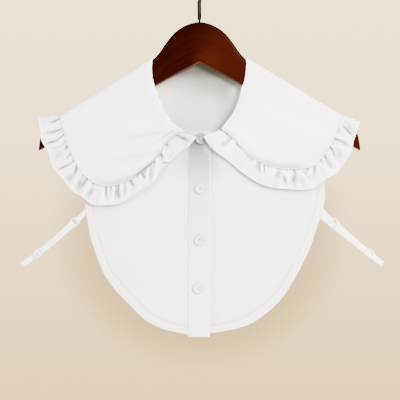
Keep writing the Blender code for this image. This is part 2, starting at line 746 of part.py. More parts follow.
def add_strap(word, strap, web, plastic, collection):
    along, across = strap_axes(strap)
    down = Vector((0.0, 0.0, -1.0))
    ring = Vector((strap["ring"][0], STRAP_FRONT_Y, strap["ring"][1]))
    slider = Vector((strap["slider"][0], STRAP_FRONT_Y * 0.62, strap["slider"][1]))
    end = Vector((strap["end"][0], 0.0, strap["end"][1]))
    loop = WIRE + 0.35 + STRAP_WALL * 0.5
    half_ring = 4.4
    path = loop_path(ring, along, across, half_ring, 5.1)
    add_wire("ring_%s" % word, path, WIRE, [1.0] * len(path), True, plastic, collection)
    # The tab runs from behind the panel's side hem round the ring's near side.
    near = ring - along * half_ring
    hem = inside_point(strap["start"][0], strap["start"][1], 1.0)
    tab = [near - along * 5.5 + Vector((0.0, -loop, 0.0))]
    tab.extend(turn_points(near, along, loop, 5))
    tab.append(near - along * 5.0 + Vector((0.0, loop, 0.0)))
    tab.append(hem)
    add_band("tab_%s" % word, tab, across, STRAP_WIDTH * 0.84, STRAP_WALL, web, collection)
    # The strap is doubled from ring to slider and folded at its outer end,
    # and its back leg runs to the back panel.
    far = ring + along * half_ring
    turn = turn_points(far, -along, loop, 5)
    lower = slider + along * 3.0 + Vector((0.0, 2.0 * loop, 0.0)) + down * 0.4
    path = [lower, (lower + turn[-1]) * 0.5 + down * 0.8]
    path.extend(reversed(turn))
    for share in (0.25, 0.5, 0.75):
        middle = turn[0] + (slider - turn[0]) * share
        path.append(middle + down * 6.4 * share * (1.0 - share))
    path.append(slider)
    path.append(slider + (end - slider) * 0.5 + down * 0.3)
    tip = end - along * 1.6
    for i in range(6):
        angle = math.pi * i / 5
        path.append(tip + along * 1.6 * math.sin(angle) + Vector((0.0, -1.6 * math.cos(angle), 0.0)))
    back_end = inside_point(strap["side"] * 136.5, strap["start"][1], -1.0)
    base = path[-1]
    for share in (0.25, 0.5, 0.75, 1.0):
        path.append(base + (back_end - base) * share + down * 6.0 * share * (1.0 - share))
    add_band("strap_%s" % word, path, across, STRAP_WIDTH, STRAP_WALL, web, collection)
    # The slider is a wire frame lying on the front leg.
    lean = (slider - turn[0]).normalized()
    face = slider + Vector((0.0, -(STRAP_WALL * 0.5 + 0.35 + WIRE + 0.1), 0.0))
    path = loop_path(face, lean, across, 4.9, 4.4)
    add_wire("slider_%s" % word, path, WIRE + 0.1, [1.0] * len(path), True, plastic, collection)


def main():
    clear_scene()
    collection, cutters = make_collections()
    bib = make_material("bib_cloth", (0.84, 0.83, 0.81), 0.85)
    strip = make_material("placket_cloth", (0.82, 0.81, 0.79), 0.85)
    collar = make_material("collar_cloth", (0.88, 0.88, 0.88), 0.8)
    frill = make_material("ruffle_cloth", (0.88, 0.88, 0.87), 0.8)
    web = make_material("strap_web", (0.87, 0.86, 0.84), 0.75)
    plastic = make_material("white_plastic", (0.86, 0.86, 0.85), 0.35)
    wood = make_material("mahogany_wood", (0.06, 0.012, 0.006), 0.3)
    metal = make_material("hook_metal", (0.10, 0.09, 0.09), 0.35, 0.9)
    add_hanger(wood, collection)
    path, sizes = hook_path()
    add_wire("hook", path, HOOK_WIRE, sizes, False, metal, collection)
    add_panel("front_right", FRONT_RIGHT_ROWS, -200.0, PANEL_EDGE_RIGHT, 6, bib, collection)
    add_panel("front_left", FRONT_LEFT_ROWS, PANEL_EDGE_LEFT, 200.0, 6, bib, collection)
    add_panel("back_panel", BACK_PANEL_ROWS, 0.0, 200.0, 4, bib, collection, True)
    add_placket(strip, collection)
    right = leaf_rows(RIGHT_FRONT_ROWS, -1)
    left = leaf_rows(LEFT_FRONT_ROWS, 1)
    add_leaf("collar_right", right, collar, collection)
    add_leaf("collar_left", left, collar, collection)
    across = (0.0, 0.36, 1.0)
    add_ruffle("ruffle_right", right, 0.4, across, frill, collection)
    add_ruffle("ruffle_left", left, 1.9, across, frill, collection)
    for number, (x, z) in enumerate(BUTTON_ROWS, 1):
        add_button(number, x, z, plastic, collection, cutters)
    add_strap("right", RIGHT_STRAP, web, plastic, collection)
    add_strap("left", LEFT_STRAP, web, plastic, collection)


main()
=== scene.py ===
"""Frilled detachable collar buttoned on a wooden hanger, dressed on its solid model.

Lengths in the tables are millimetres and lengths in the meshes are metres.
+Z is up, the front faces -Y, and the origin is the inner top of the hook.

All the cloth is one draped surface. A place on it is given by x and by drop,
the distance along the cloth from the shoulder line, positive down the front
and negative down the back. A layer of cloth stands off it by its own lift.
"""

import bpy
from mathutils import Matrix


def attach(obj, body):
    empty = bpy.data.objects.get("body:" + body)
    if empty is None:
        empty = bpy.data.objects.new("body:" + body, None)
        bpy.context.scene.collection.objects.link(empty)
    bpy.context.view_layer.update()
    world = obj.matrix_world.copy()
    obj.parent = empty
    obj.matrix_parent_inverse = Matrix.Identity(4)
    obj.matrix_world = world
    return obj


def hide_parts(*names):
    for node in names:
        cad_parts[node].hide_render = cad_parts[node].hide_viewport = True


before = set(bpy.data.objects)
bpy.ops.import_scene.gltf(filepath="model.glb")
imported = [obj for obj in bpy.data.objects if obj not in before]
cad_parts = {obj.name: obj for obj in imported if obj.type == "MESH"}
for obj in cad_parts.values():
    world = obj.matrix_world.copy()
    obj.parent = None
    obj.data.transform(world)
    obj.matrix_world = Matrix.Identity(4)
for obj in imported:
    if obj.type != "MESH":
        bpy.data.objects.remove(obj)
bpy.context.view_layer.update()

import math

import bpy
import numpy as np
from mathutils import Vector

bl_info = {
    "name": "Frilled Collar on a Hanger",
    "version": (1, 0, 0),
    "blender": (4, 5, 0),
    "location": "3D View > Sidebar > Collar",
    "description": "Makes a frilled detachable collar, its wooden hanger and a plain studio",
    "category": "Object",
}

MM = 0.001
BODY = "root"
THICK_LEVELS = 16

# The draped surface.
RIDGE_TOP = -75.3
RIDGE_SLOPE = 0.63
RIDGE_ROUND = 20.0
ROLL = 7.0
HANG_START = 35.0
HANG_END = 230.0
HANG_DEPTH = 3.6
HANG_HALF_WIDTH = 155.0
SOFT_FOLD = 0.5
SOFT_FOLD_PITCH = 17.0
SOFT_FOLD_DRIFT = 53.0
# How far the cloth sinks on to the board along the shoulder line.
SETTLE_COLUMNS = ("x", "sunk")
SETTLE_ROWS = (
    (-200.0, 0.4), (-170.0, 0.6), (-140.0, 0.4), (-115.0, 0.2), (-90.0, 0.3), (-60.0, -0.3),
    (0.0, 1.2), (58.0, 1.2), (75.0, 0.7), (95.0, 0.8), (120.0, 0.3), (150.0, -0.2), (200.0, -0.3),
)
SETTLE_REACH = 70.0

# Lifts of the layers, each that of the middle of its wall.
PLACKET_LIFT = 1.4
# The leaves' and frills' tips rise over the placket's top and its button.
TIP_RISE = 4.2
TIP_DROP = 124.0
TIP_REACH = 34.0
LEAF_LIFT = 1.55
LEAF_SHADE = 0.14
LEAF_SEAM_LIFT = 2.6
ROLL_LIFT = -0.35
NECK_ROLL = 1.7
NECK_ROLL_AT = 7.0
NECK_TURN = 1.1
FRILL_SHADE = 0.2
FRILL_FOLD_WIDER = 1.35
FRILL_ROOT_LIFT = 2.2
FRILL_MID_LIFT = 3.7
FRILL_MID_SHARE = 0.35
FRILL_LEAST_LIFT = 0.95
FRILL_HEM_LIFT = 4.2
WAVE_PITCH = 12.6
# The seam is this much shorter than the strip that is gathered in it.
GATHERING = 1.4

# How many parts each sheet's grid has, along its edge and across it.
LEAF_GRID = (320, 88)
LEAF_TURN_STEPS = 8
FRILL_GRID = (920, 34)
FRONT_RIGHT_GRID = (240, 96)
FRONT_LEFT_GRID = (240, 110)
BACK_GRID = (150, 46)
PLACKET_GRID = (220, 44)

# One collar leaf with its ruffle, from the centre front to the shoulder line.
LEAF_COLUMNS = ("neck_x", "neck_drop", "seam_x", "seam_drop", "hem_x", "hem_drop", "stand")
RIGHT_FRONT_ROWS = (
    (-21.0, 116.0, -23.5, 117.0, -3.5, 129.0, 0.0),
    (-24.0, 112.5, -30.5, 117.0, -11.5, 138.5, 0.0),
    (-28.5, 107.5, -38.0, 119.0, -22.5, 140.5, 0.0),
    (-33.0, 101.5, -44.0, 122.0, -33.5, 144.0, 0.0),
    (-36.5, 95.5, -49.0, 128.0, -41.0, 148.5, 0.0),
    (-39.5, 89.0, -56.5, 133.5, -49.5, 157.5, 0.0),
    (-42.5, 82.5, -64.5, 137.0, -59.5, 162.0, 0.0),
    (-45.5, 76.0, -75.0, 139.5, -72.0, 162.0, 0.0),
    (-48.0, 69.5, -88.5, 138.0, -86.5, 162.0, 0.0),
    (-50.0, 63.0, -100.5, 135.0, -102.0, 159.0, 0.0),
    (-52.5, 56.5, -113.0, 130.0, -118.0, 151.0, 0.0),
    (-54.0, 49.0, -126.5, 119.0, -136.0, 135.5, 0.0),
    (-56.8, 41.5, -138.0, 105.5, -151.5, 115.5, 0.0),
    (-58.7, 34.5, -148.0, 89.0, -167.0, 91.0, 0.5),
    (-60.1, 27.5, -156.0, 69.0, -178.0, 69.5, 1.0),
    (-60.7, 20.5, -163.5, 48.5, -188.5, 44.0, 2.0),
    (-60.8, 14.0, -168.0, 29.5, -195.8, 22.5, 4.0),
    (-60.4, 8.5, -172.0, 11.5, -198.0, 9.0, 7.0),
    (-58.6, 0.0, -173.5, 0.0, -198.0, 0.0, 9.0),
)
LEFT_FRONT_ROWS = (
    (27.5, 110.0, 29.0, 111.0, 5.5, 128.0, 0.0),
    (31.5, 103.0, 35.5, 112.0, 12.0, 135.5, 0.0),
    (35.0, 96.5, 43.0, 115.0, 21.5, 141.5, 0.0),
    (38.5, 90.5, 51.0, 119.5, 33.0, 144.5, 0.0),
    (41.5, 84.5, 60.0, 124.0, 46.0, 149.0, 0.0),
    (44.0, 79.0, 70.0, 124.0, 59.5, 153.5, 0.0),
    (46.0, 73.0, 80.5, 122.5, 74.0, 151.5, 0.0),
    (48.0, 67.5, 92.5, 119.0, 89.0, 147.0, 0.0),
    (49.5, 62.0, 105.5, 113.0, 105.5, 138.5, 0.0),
    (51.0, 56.5, 120.0, 104.0, 123.0, 127.5, 0.0),
    (52.0, 51.0, 133.5, 94.5, 140.5, 114.5, 0.0),
    (53.0, 45.5, 144.0, 83.5, 156.0, 97.5, 0.0),
    (55.2, 39.5, 150.5, 71.5, 168.5, 81.5, 0.0),
    (57.0, 33.5, 157.5, 59.0, 179.5, 64.0, 0.5),
    (57.9, 28.0, 164.0, 45.0, 188.0, 45.0, 1.0),
    (58.7, 21.5, 169.0, 31.0, 192.5, 29.0, 1.5),
    (59.3, 15.0, 172.0, 20.0, 195.0, 15.5, 2.0),
    (59.6, 8.5, 174.0, 9.0, 196.0, 6.0, 2.5),
    (57.8, 0.0, 175.0, 0.0, 196.0, -1.0, 3.0),
)
# The same columns from behind the shoulder line to the centre back.
BACK_ROWS = (
    (57.4, -8.0, 172.5, -15.5, 193.5, -12.0, 4.0),
    (55.0, -10.0, 170.0, -29.0, 192.0, -25.5, 3.0),
    (52.5, -12.0, 165.5, -43.5, 185.0, -44.0, 2.0),
    (48.5, -14.0, 158.5, -59.0, 175.0, -64.5, 1.0),
    (44.5, -16.5, 149.0, -74.0, 161.0, -83.5, 0.0),
    (40.0, -19.5, 137.0, -88.0, 145.0, -102.0, 0.0),
    (35.5, -22.5, 123.0, -100.5, 127.5, -118.0, 0.0),
    (30.5, -25.0, 108.0, -112.0, 110.0, -132.5, 0.0),
    (25.5, -27.0, 91.0, -124.0, 91.5, -146.0, 0.0),
    (20.5, -28.5, 73.0, -135.0, 73.0, -157.5, 0.0),
    (15.5, -30.0, 55.0, -146.0, 55.0, -168.5, 0.0),
    (10.5, -31.0, 36.5, -157.0, 36.5, -179.5, 0.0),
    (5.5, -31.5, 18.5, -166.0, 18.5, -188.5, 0.0),
    (0.8, -32.0, 0.8, -169.0, 1.0, -192.0, 0.0),
)

# The frill's main folds: millimetres along the seam and out from it, of both ends.
FRILL_FOLD_COLUMNS = ("from_at", "from_out", "to_at", "to_out", "height", "width")
RIGHT_FRILL_FOLDS = (
    (4.8, 13.0, 4.8, 23.3, -0.7, 1.5), (5.3, 2.8, 4.8, 15.8, -0.9, 1.3), (5.9, -1.5, 5.3, 2.8, -1.2, 0.9),
    (14.6, 0.0, 15.3, 0.0, -1.1, 0.8), (17.0, -2.4, 19.7, 4.4, -1.1, 0.8),
    (19.7, 4.4, 24.1, 5.3, -0.9, 0.8), (20.2, 0.0, 24.9, 0.0, -1.0, 0.8), (21.4, 0.0, 24.1, 4.1, 1.1, 0.8),
    (21.0, 18.4, 25.4, 18.3, -0.6, 1.0), (24.2, -2.2, 28.4, 25.1, 1.0, 1.2),
    (28.6, -8.2, 29.3, 16.5, -1.2, 1.3), (35.7, -2.8, 41.1, 5.1, -1.2, 0.9),
    (33.3, -6.1, 44.6, 26.6, 1.6, 1.3), (44.6, 0.6, 46.8, 20.4, -0.8, 1.4),
    (46.1, -4.2, 52.4, 18.3, 1.0, 1.1), (49.4, -1.0, 50.8, 1.8, -1.1, 0.9),
    (56.4, -7.7, 51.6, 14.0, -1.0, 1.2), (57.2, -4.8, 60.0, 20.6, 1.0, 1.1),
    (59.7, -0.9, 60.4, 1.7, -1.1, 0.8), (63.5, 1.2, 60.4, 9.1, 0.9, 1.1),
    (72.2, -5.2, 64.8, 12.8, -1.0, 1.4), (74.5, -1.9, 71.7, 21.2, 0.7, 1.2),
    (75.2, -0.3, 76.6, 17.6, -0.9, 1.5), (81.4, -2.6, 79.3, 27.5, 1.1, 1.1),
    (84.0, 8.4, 82.3, 17.5, -1.0, 1.3), (83.4, -1.2, 84.0, 9.0, -1.3, 1.0),
    (88.3, -6.7, 86.2, 17.3, -0.9, 1.2), (90.6, -2.6, 90.6, 17.6, 0.9, 1.1),
    (95.3, -5.3, 93.2, 11.2, -0.9, 0.9), (98.2, -2.9, 92.6, 21.3, 0.9, 1.0),
    (103.7, -6.2, 96.3, 14.2, -1.1, 1.1), (108.2, -3.3, 98.4, 22.3, 0.8, 1.2),
    (119.0, 4.6, 120.8, 14.1, -0.8, 2.5), (123.0, -0.8, 121.7, 2.7, -1.0, 1.0),
    (126.1, -0.8, 128.2, 12.9, 0.9, 1.2), (135.3, -4.2, 133.9, 8.8, -0.9, 1.6),
    (143.1, 1.7, 134.4, 13.4, -0.8, 2.6), (149.5, -1.0, 141.1, 21.6, 1.1, 1.3),
    (153.6, 5.8, 152.3, 18.2, -0.8, 2.8), (163.4, 0.2, 153.2, 5.3, -1.1, 1.5),
    (170.2, 4.8, 172.9, 18.6, -1.1, 1.2), (173.0, -1.8, 170.2, 4.8, -1.2, 0.9),
    (183.9, -2.6, 179.9, 8.0, -1.1, 0.9), (190.4, 7.3, 189.1, 20.6, -0.6, 2.8),
    (198.5, -0.1, 191.7, 3.7, -1.2, 1.2), (199.1, 7.8, 200.9, 20.5, -0.7, 0.9),
    (205.7, -1.2, 199.6, 7.8, -0.9, 1.0), (208.8, 11.2, 210.1, 24.0, -1.2, 1.3),
    (214.9, -1.7, 208.8, 11.2, -1.3, 1.0), (219.5, 1.6, 217.5, 7.2, -0.8, 0.7),
    (222.8, -0.7, 222.8, 11.2, -1.2, 1.0), (221.5, 8.5, 226.7, 21.2, -0.8, 2.2),
    (227.8, 2.9, 227.1, 8.2, -0.7, 0.7), (236.8, -1.1, 235.5, 12.9, -1.2, 0.9),
)
LEFT_FRILL_FOLDS = (
    (3.8, -2.0, 9.6, 6.0, -0.7, 1.0), (11.6, -2.5, 12.9, 9.4, -1.0, 1.1),
    (12.9, 9.4, 12.1, 20.6, -0.8, 1.4), (11.7, -8.9, 22.4, 38.6, 1.0, 1.1),
    (17.1, 0.8, 20.8, 0.0, -1.1, 1.0), (15.0, -8.5, 23.7, 36.8, 0.6, 0.9),
    (20.0, 1.6, 25.0, 0.0, -0.8, 1.4), (28.7, 0.0, 27.0, 3.7, 0.9, 1.0), (32.0, 0.0, 39.1, 0.0, -1.1, 1.1),
    (37.4, 5.9, 39.9, 0.8, -0.6, 1.3), (42.8, -2.6, 45.4, 4.7, 0.8, 0.9),
    (43.1, -8.4, 49.5, 15.4, -0.9, 1.1), (47.0, -9.1, 52.8, 16.5, -1.1, 1.1),
    (50.7, -4.5, 55.4, 19.3, 1.1, 1.0), (52.7, -6.5, 56.6, 11.8, -1.2, 1.0),
    (57.0, 0.0, 57.8, 5.1, 0.9, 0.8), (58.0, -1.6, 59.9, 2.9, -1.1, 0.8),
    (63.5, -0.4, 62.8, 0.7, -0.9, 0.8), (63.2, 0.7, 66.2, 2.8, 0.9, 0.9), (66.2, 3.5, 63.2, 13.7, 0.6, 1.2),
    (74.9, 0.7, 71.6, 13.7, -0.8, 2.0), (80.7, 0.6, 81.5, 7.6, 0.7, 1.2),
    (79.5, 7.1, 82.8, 18.4, -1.0, 1.5), (84.9, -1.7, 83.6, 3.2, -1.0, 0.7),
    (86.5, -4.8, 84.5, 24.3, 1.1, 1.0), (95.7, 6.0, 91.5, 17.1, -0.9, 2.6),
    (93.7, -1.1, 96.9, 5.4, -1.1, 1.0), (102.4, 8.1, 103.2, 17.3, -0.5, 2.2),
    (103.2, 1.7, 107.8, 8.4, 1.1, 1.1), (106.5, 2.8, 111.5, 5.5, -1.1, 1.0),
    (105.3, 4.3, 116.0, 23.4, 1.1, 1.4), (111.1, 9.3, 112.8, 11.9, -0.8, 2.0),
    (116.6, -2.4, 112.8, 4.3, -1.1, 0.9), (119.8, 1.5, 117.3, 7.8, 0.7, 1.0),
    (131.9, -5.5, 120.2, 10.0, -1.1, 1.1), (133.1, 0.5, 138.1, 9.7, 1.0, 1.1),
    (130.9, -2.6, 149.5, 23.8, 1.0, 1.3), (143.7, -1.9, 139.8, 3.5, -1.1, 1.0),
    (149.0, 4.8, 146.5, 14.2, -0.7, 2.4), (152.8, -2.6, 149.0, 4.8, -1.2, 1.1),
    (160.9, 0.5, 154.9, 12.9, 0.9, 1.0), (163.9, 6.4, 159.8, 10.2, -0.9, 1.3),
    (169.3, 10.1, 162.3, 17.3, -0.7, 2.4), (169.7, -2.6, 163.9, 6.4, -1.2, 1.2),
    (176.5, -1.3, 172.7, 2.4, -1.0, 0.8), (171.8, 0.4, 181.1, 27.3, 1.0, 1.1),
    (181.1, -2.7, 184.3, 6.5, -1.1, 1.5), (183.9, 6.5, 183.9, 17.3, -0.8, 2.4),
    (185.0, -4.1, 190.3, 24.2, 0.9, 1.0), (196.4, -0.4, 195.1, 2.4, -1.0, 0.8),
    (201.0, 2.3, 194.7, 15.3, 0.7, 1.2), (203.9, 4.6, 196.8, 19.4, -1.3, 1.2),
    (208.0, 8.5, 203.0, 18.6, -0.6, 2.6),
)
# How far the frill reaches, as a share of its drawn width, along its seam.
FRILL_REACH_COLUMNS = ("at", "share")
RIGHT_FRILL_REACH = (
    (0.0, 0.99), (6.0, 0.94), (12.0, 0.95), (18.0, 0.99), (24.5, 0.98), (28.0, 0.76), (31.0, 0.56),
    (34.5, 0.60), (38.0, 0.78), (43.0, 0.87), (49.0, 0.90), (55.0, 0.86), (61.0, 0.89), (67.0, 0.91),
    (73.5, 0.96), (80.0, 1.01), (86.0, 0.99), (92.0, 0.96), (98.0, 0.96), (104.0, 1.02), (110.0, 1.06),
    (116.0, 1.02), (122.5, 0.96), (129.0, 0.96), (135.0, 1.03), (141.0, 1.04), (147.0, 1.02),
    (153.0, 0.98), (159.0, 0.965), (165.0, 0.995), (171.5, 1.03), (178.0, 1.045), (184.0, 1.02),
    (190.0, 0.97), (196.0, 0.90), (202.0, 0.89), (208.0, 0.94), (214.5, 0.97), (227.0, 0.97),
    (233.0, 0.925), (239.0, 0.83), (252.0, 0.84), (275.0, 0.97),
)
LEFT_FRILL_REACH = (
    (0.0, 1.01), (9.0, 1.03), (17.5, 1.01), (29.0, 0.97), (35.0, 0.955), (41.0, 0.89), (46.5, 0.89),
    (52.0, 0.94), (58.0, 0.965), (70.0, 0.96), (81.5, 0.97), (93.0, 1.0), (99.0, 1.015),
    (105.0, 1.04), (116.5, 1.035), (122.0, 0.97), (128.0, 0.91), (134.0, 0.89), (140.0, 0.925),
    (145.5, 0.98), (151.0, 0.94), (157.0, 0.915), (163.0, 0.91), (169.0, 0.925), (175.0, 0.95),
    (180.5, 0.96), (186.0, 0.92), (192.0, 0.89), (198.0, 0.925), (204.0, 0.975), (215.5, 0.975),
    (230.0, 1.0),
)

# The body panels, a row per ray from the shoulder round the armhole to the hem.
PANEL_COLUMNS = ("inner_x", "inner_drop", "outer_x", "outer_drop")
FRONT_RIGHT_ROWS = (
    (-61.0, 0.0, -138.0, 0.0),
    (-61.6, 14.5, -139.5, 24.5),
    (-61.0, 29.5, -141.0, 49.0),
    (-57.5, 47.0, -142.0, 73.0),
    (-52.0, 65.0, -142.6, 96.0),
    (-45.0, 82.0, -142.8, 117.5),
    (-34.0, 98.0, -141.9, 136.0),
    (-20.0, 116.0, -139.0, 157.0),
    (-12.9, 119.0, -134.8, 180.5),
    (-12.9, 138.5, -128.5, 203.5),
    (-12.9, 163.5, -119.0, 233.5),
    (-12.9, 188.5, -105.2, 262.4),
    (-12.9, 213.5, -87.2, 292.2),
    (-12.9, 238.5, -67.0, 324.0),
    (-12.9, 263.5, -46.0, 347.0),
    (-12.9, 288.5, -28.0, 361.5),
    (-12.9, 311.5, -12.9, 371.5),
)
FRONT_LEFT_ROWS = (
    (60.4, 0.0, 141.0, 0.0),
    (60.2, 14.5, 145.0, 21.5),
    (59.4, 29.5, 149.0, 41.0),
    (56.0, 45.5, 152.5, 61.5),
    (52.5, 63.0, 154.8, 82.5),
    (46.0, 80.0, 155.5, 102.0),
    (36.0, 96.5, 154.8, 123.5),
    (24.0, 112.0, 150.0, 146.0),
    (10.0, 119.5, 143.5, 168.0),
    (-2.0, 120.8, 137.0, 191.5),
    (-12.3, 119.0, 128.0, 216.0),
    (-12.3, 148.0, 117.0, 243.5),
    (-12.3, 178.0, 102.0, 275.5),
    (-12.3, 208.0, 82.0, 307.0),
    (-12.3, 238.0, 61.2, 332.9),
    (-12.3, 268.0, 36.0, 354.8),
    (-12.3, 295.0, 12.0, 369.0),
    (-12.3, 321.0, -12.3, 369.5),
)
BACK_PANEL_ROWS = (
    (60.4, -0.5, 139.0, -0.5),
    (56.0, -9.5, 141.0, -28.0),
    (50.0, -13.5, 142.0, -52.0),
    (42.0, -18.0, 142.5, -76.0),
    (33.0, -23.5, 142.0, -100.0),
    (23.0, -28.0, 141.0, -123.0),
    (12.0, -31.0, 138.5, -146.0),
    (0.0, -32.0, 134.0, -168.0),
    (0.0, -60.0, 126.0, -196.0),
    (0.0, -90.0, 114.0, -226.0),
    (0.0, -120.0, 99.0, -257.0),
    (0.0, -150.0, 80.0, -288.0),
    (0.0, -180.0, 60.0, -315.0),
    (0.0, -210.0, 40.0, -336.0),
    (0.0, -240.0, 20.0, -351.0),
    (0.0, -268.0, 0.0, -358.0),
)
PANEL_EDGE_RIGHT = -12.9
PANEL_EDGE_LEFT = -12.3
PANEL_WIDEST = 200.0

# The placket strip down the centre front.
PLACKET_LEFT_X = -13.7
PLACKET_RIGHT_X = 12.8
PLACKET_TOP_Z = -205.0
PLACKET_BOTTOM_Z = -460.2

# The buttons, from the top one down: place, and turn of the holes in degrees.
BUTTON_COLUMNS = ("x", "z", "turn")
BUTTON_ROWS = (
    (1.6, -214.6, 4.0),
    (1.2, -276.2, -6.0),
    (0.6, -340.1, 9.0),
    (-1.2, -399.8, 2.0),
)
BUTTON_LIFT = 2.35
# The button's turned profile: radius and height.
BUTTON_PROFILE = (
    (0.0, 0.0), (4.6, 0.0), (5.9, 0.25), (6.7, 0.8), (6.9, 1.3), (6.6, 1.8),
    (6.1, 2.0), (5.5, 1.95), (5.0, 1.6), (4.6, 1.3), (4.0, 1.18), (0.0, 1.15),
)
BUTTON_AROUND = 72
BUTTON_HOLE = 0.75
BUTTON_HOLE_AT = 1.7
THREAD = 0.18

# Soft ridges and troughs pressed in the leaves, x and drop of the two ends.
FOLD_COLUMNS = ("from_x", "from_drop", "to_x", "to_drop", "height", "width")
LEAF_FOLDS = (
    (-26.0, 106.0, -150.0, 33.0, 1.1, 6.0),
    (-44.0, 118.0, -152.0, 70.0, 0.9, 7.0),
    (-56.0, 131.0, -118.0, 116.0, 0.8, 5.0),
    (40.0, 104.0, 76.0, 112.0, 1.0, 6.0),
    (62.0, 60.0, 150.0, 40.0, 0.7, 10.0),
)
# Fainter ones that the solids leave out.
FAINT_FOLDS = (
    (-32.0, 108.0, -96.0, 84.0, -0.35, 4.0),
    (-50.0, 124.0, -110.0, 98.0, -0.35, 5.0),
    (36.0, 99.0, 96.0, 92.0, 0.35, 6.0),
    (70.0, 116.0, 128.0, 92.0, 0.3, 7.0),
    (-70.0, 40.0, -140.0, 12.0, 0.3, 9.0),
    (-49.5, 132.0, -80.0, 138.5, -0.9, 2.6),
    (-60.0, 140.0, -86.0, 146.0, 0.5, 3.0),
    (-31.0, 108.5, -62.0, 112.5, -0.7, 2.4),
    (60.0, -60.0, 140.0, -50.0, 0.5, 10.0),
    (30.0, -80.0, 90.0, -112.0, 0.5, 9.0),
    (-60.0, -70.0, -140.0, -55.0, 0.5, 10.0),
    (-24.0, -84.0, -100.0, -104.0, 0.5, 9.0),
)

# How dark the cloth is where the board, the collar and the frill shade it, by height.
SHADE_COLUMNS = ("z", "share")
INSIDE_SHADE = (
    (-240.0, 0.15), (-215.0, 0.42), (-197.0, 0.44), (-181.0, 0.45), (-166.0, 0.47), (-154.0, 0.56),
    (-146.4, 0.68), (-142.2, 0.74), (-141.4, 0.82), (-140.6, 0.78), (-139.0, 0.82), (-134.5, 0.955),
    (-129.5, 0.985), (-124.0, 0.99), (-114.0, 0.99),
)
PLACKET_SHADE = (
    (-400.0, 0.0), (-365.0, 0.05), (-315.0, 0.13), (-285.5, 0.19), (-270.6, 0.34), (-255.7, 0.47),
    (-247.0, 0.56), (-238.3, 0.60), (-227.1, 0.72), (-219.7, 0.80), (-214.0, 0.82), (-211.6, 0.70),
    (-210.0, 0.36), (-204.0, 0.34),
)
UNDER_COLLAR_SHADE = 0.5
UNDER_FRILL_SHADE = 0.35

# Fixed colours, and what is left of a cloth's colour in its deepest shade.
DEEPEST_SHADE = (0.045, 0.045, 0.036)
STITCH_COLOUR = (0.86, 0.86, 0.85, 1.0)
PATCH_COLOUR = (0.0250, 0.0040, 0.0010, 1.0)
UNDERSIDE_COLOUR = (0.060, 0.026, 0.017, 1.0)
# The painted highlight on the wire where it faces the front.
WIRE_HIGHLIGHT_COLOUR = (0.017, 0.015, 0.013, 1.0)
WORN_WIRE_COLOUR = (0.03, 0.026, 0.022, 1.0)
WALL_SHADE = (0.46, 0.40, 0.30)

# The straps at the sides: the line that they follow in the front view.
STRAP_WIDTH = 6.8
STRAP_WALL = 0.9
RIGHT_STRAP = {
    "side": -1, "start": (-139.0, -302.5), "back": -302.5, "ring": (-155.5, -318.0),
    "slider": (-200.5, -356.4), "end": (-221.5, -371.6),
}
LEFT_STRAP = {
    "side": 1, "start": (150.5, -302.0), "back": -297.0, "ring": (167.5, -319.0),
    "slider": (211.0, -356.4), "end": (227.5, -369.8),
}
STRAP_FRONT_Y = -8.4
STRAP_TURN = 1.6
CLEARANCE = 0.35
STRAP_BACK_X = 136.5
STRAP_SAG = 6.4
STRAP_BACK_SAG = 4.0
TAB_SHARE = 0.84
TAB_RUN = 5.5
TAB_BACK_RUN = 5.0
WIRE = 0.7
RING_HALF_RUN = 4.4
RING_HALF_RISE = 4.5
SLIDER_WIRE = 0.8
SLIDER_HALF_RUN = 4.9
SLIDER_HALF_RISE = 4.1

# The hanger's shaped board, a row per section from the middle to the tip.
HANGER_COLUMNS = ("x", "top", "bottom", "half_depth")
HANGER_ROWS = (
    (0.0, -68.8, -119.5, 6.0),
    (5.0, -69.1, -122.1, 6.0),
    (10.0, -70.3, -124.6, 6.0),
    (15.5, -72.1, -127.3, 6.0),
    (20.5, -74.6, -129.9, 6.0),
    (25.5, -77.6, -132.5, 6.0),
    (29.5, -80.7, -134.7, 6.0),
    (33.5, -84.5, -136.8, 6.0),
    (37.5, -89.2, -139.0, 6.0),
    (41.5, -94.5, -141.2, 6.0),
    (45.5, -100.3, -143.4, 6.0),
    (49.5, -106.1, -145.6, 6.0),
    (53.5, -110.9, -147.8, 6.0),
    (58.5, -116.0, -150.4, 6.0),
    (70.0, -123.9, -156.5, 6.0),
    (90.0, -135.9, -167.4, 6.0),
    (115.0, -150.8, -181.2, 6.0),
    (140.0, -166.1, -195.2, 6.0),
    (162.0, -179.7, -207.7, 6.0),
    (180.0, -190.9, -217.9, 6.0),
    (189.0, -196.8, -223.0, 6.0),
    (193.5, -200.8, -225.6, 5.8),
    (196.6, -206.6, -227.3, 5.4),
    (198.8, -216.0, -228.5, 4.6),
    (200.2, -225.0, -229.2, 3.2),
)

# The board's sections: how square they are, and how they are divided.
BOARD_SQUARENESS = 0.42
BOARD_AROUND = 128
BOARD_CUTS = 100
# The grain's map is moved this far, in metres, between the front and the back.
BACK_GRAIN = 0.2

# The hook: a straight shank, a bend and an open round crook.
HOOK_WIRE = 2.0
HOOK_SLEEVE = 1.27
# The shank and the tip, with the wire's size there as a share of its own.
HOOK_SHANK_COLUMNS = ("x", "z", "share")
HOOK_SHANK_ROWS = (
    (0.0, -69.65, 0.7), (0.0, -66.2, 0.7), (-0.1, -65.2, HOOK_SLEEVE),
    (-0.4, -45.5, HOOK_SLEEVE), (-0.4, -44.5, HOOK_SLEEVE),
)
HOOK_TIP_COLUMNS = ("reach", "share")
HOOK_TIP_ROWS = ((0.5, 0.95), (1.0, 0.8), (1.4, 0.6), (1.7, 0.35))
HOOK_RADIUS = 20.0
HOOK_START_DEG = -62.0
HOOK_END_DEG = 205.0


# Curves and the draped surface

def smooth_step(low, high, value):
    t = np.clip((value - low) / (high - low), 0.0, 1.0)
    return t * t * (3.0 - 2.0 * t)


def bump(distance, width):
    return np.exp(-((distance / width) ** 2))


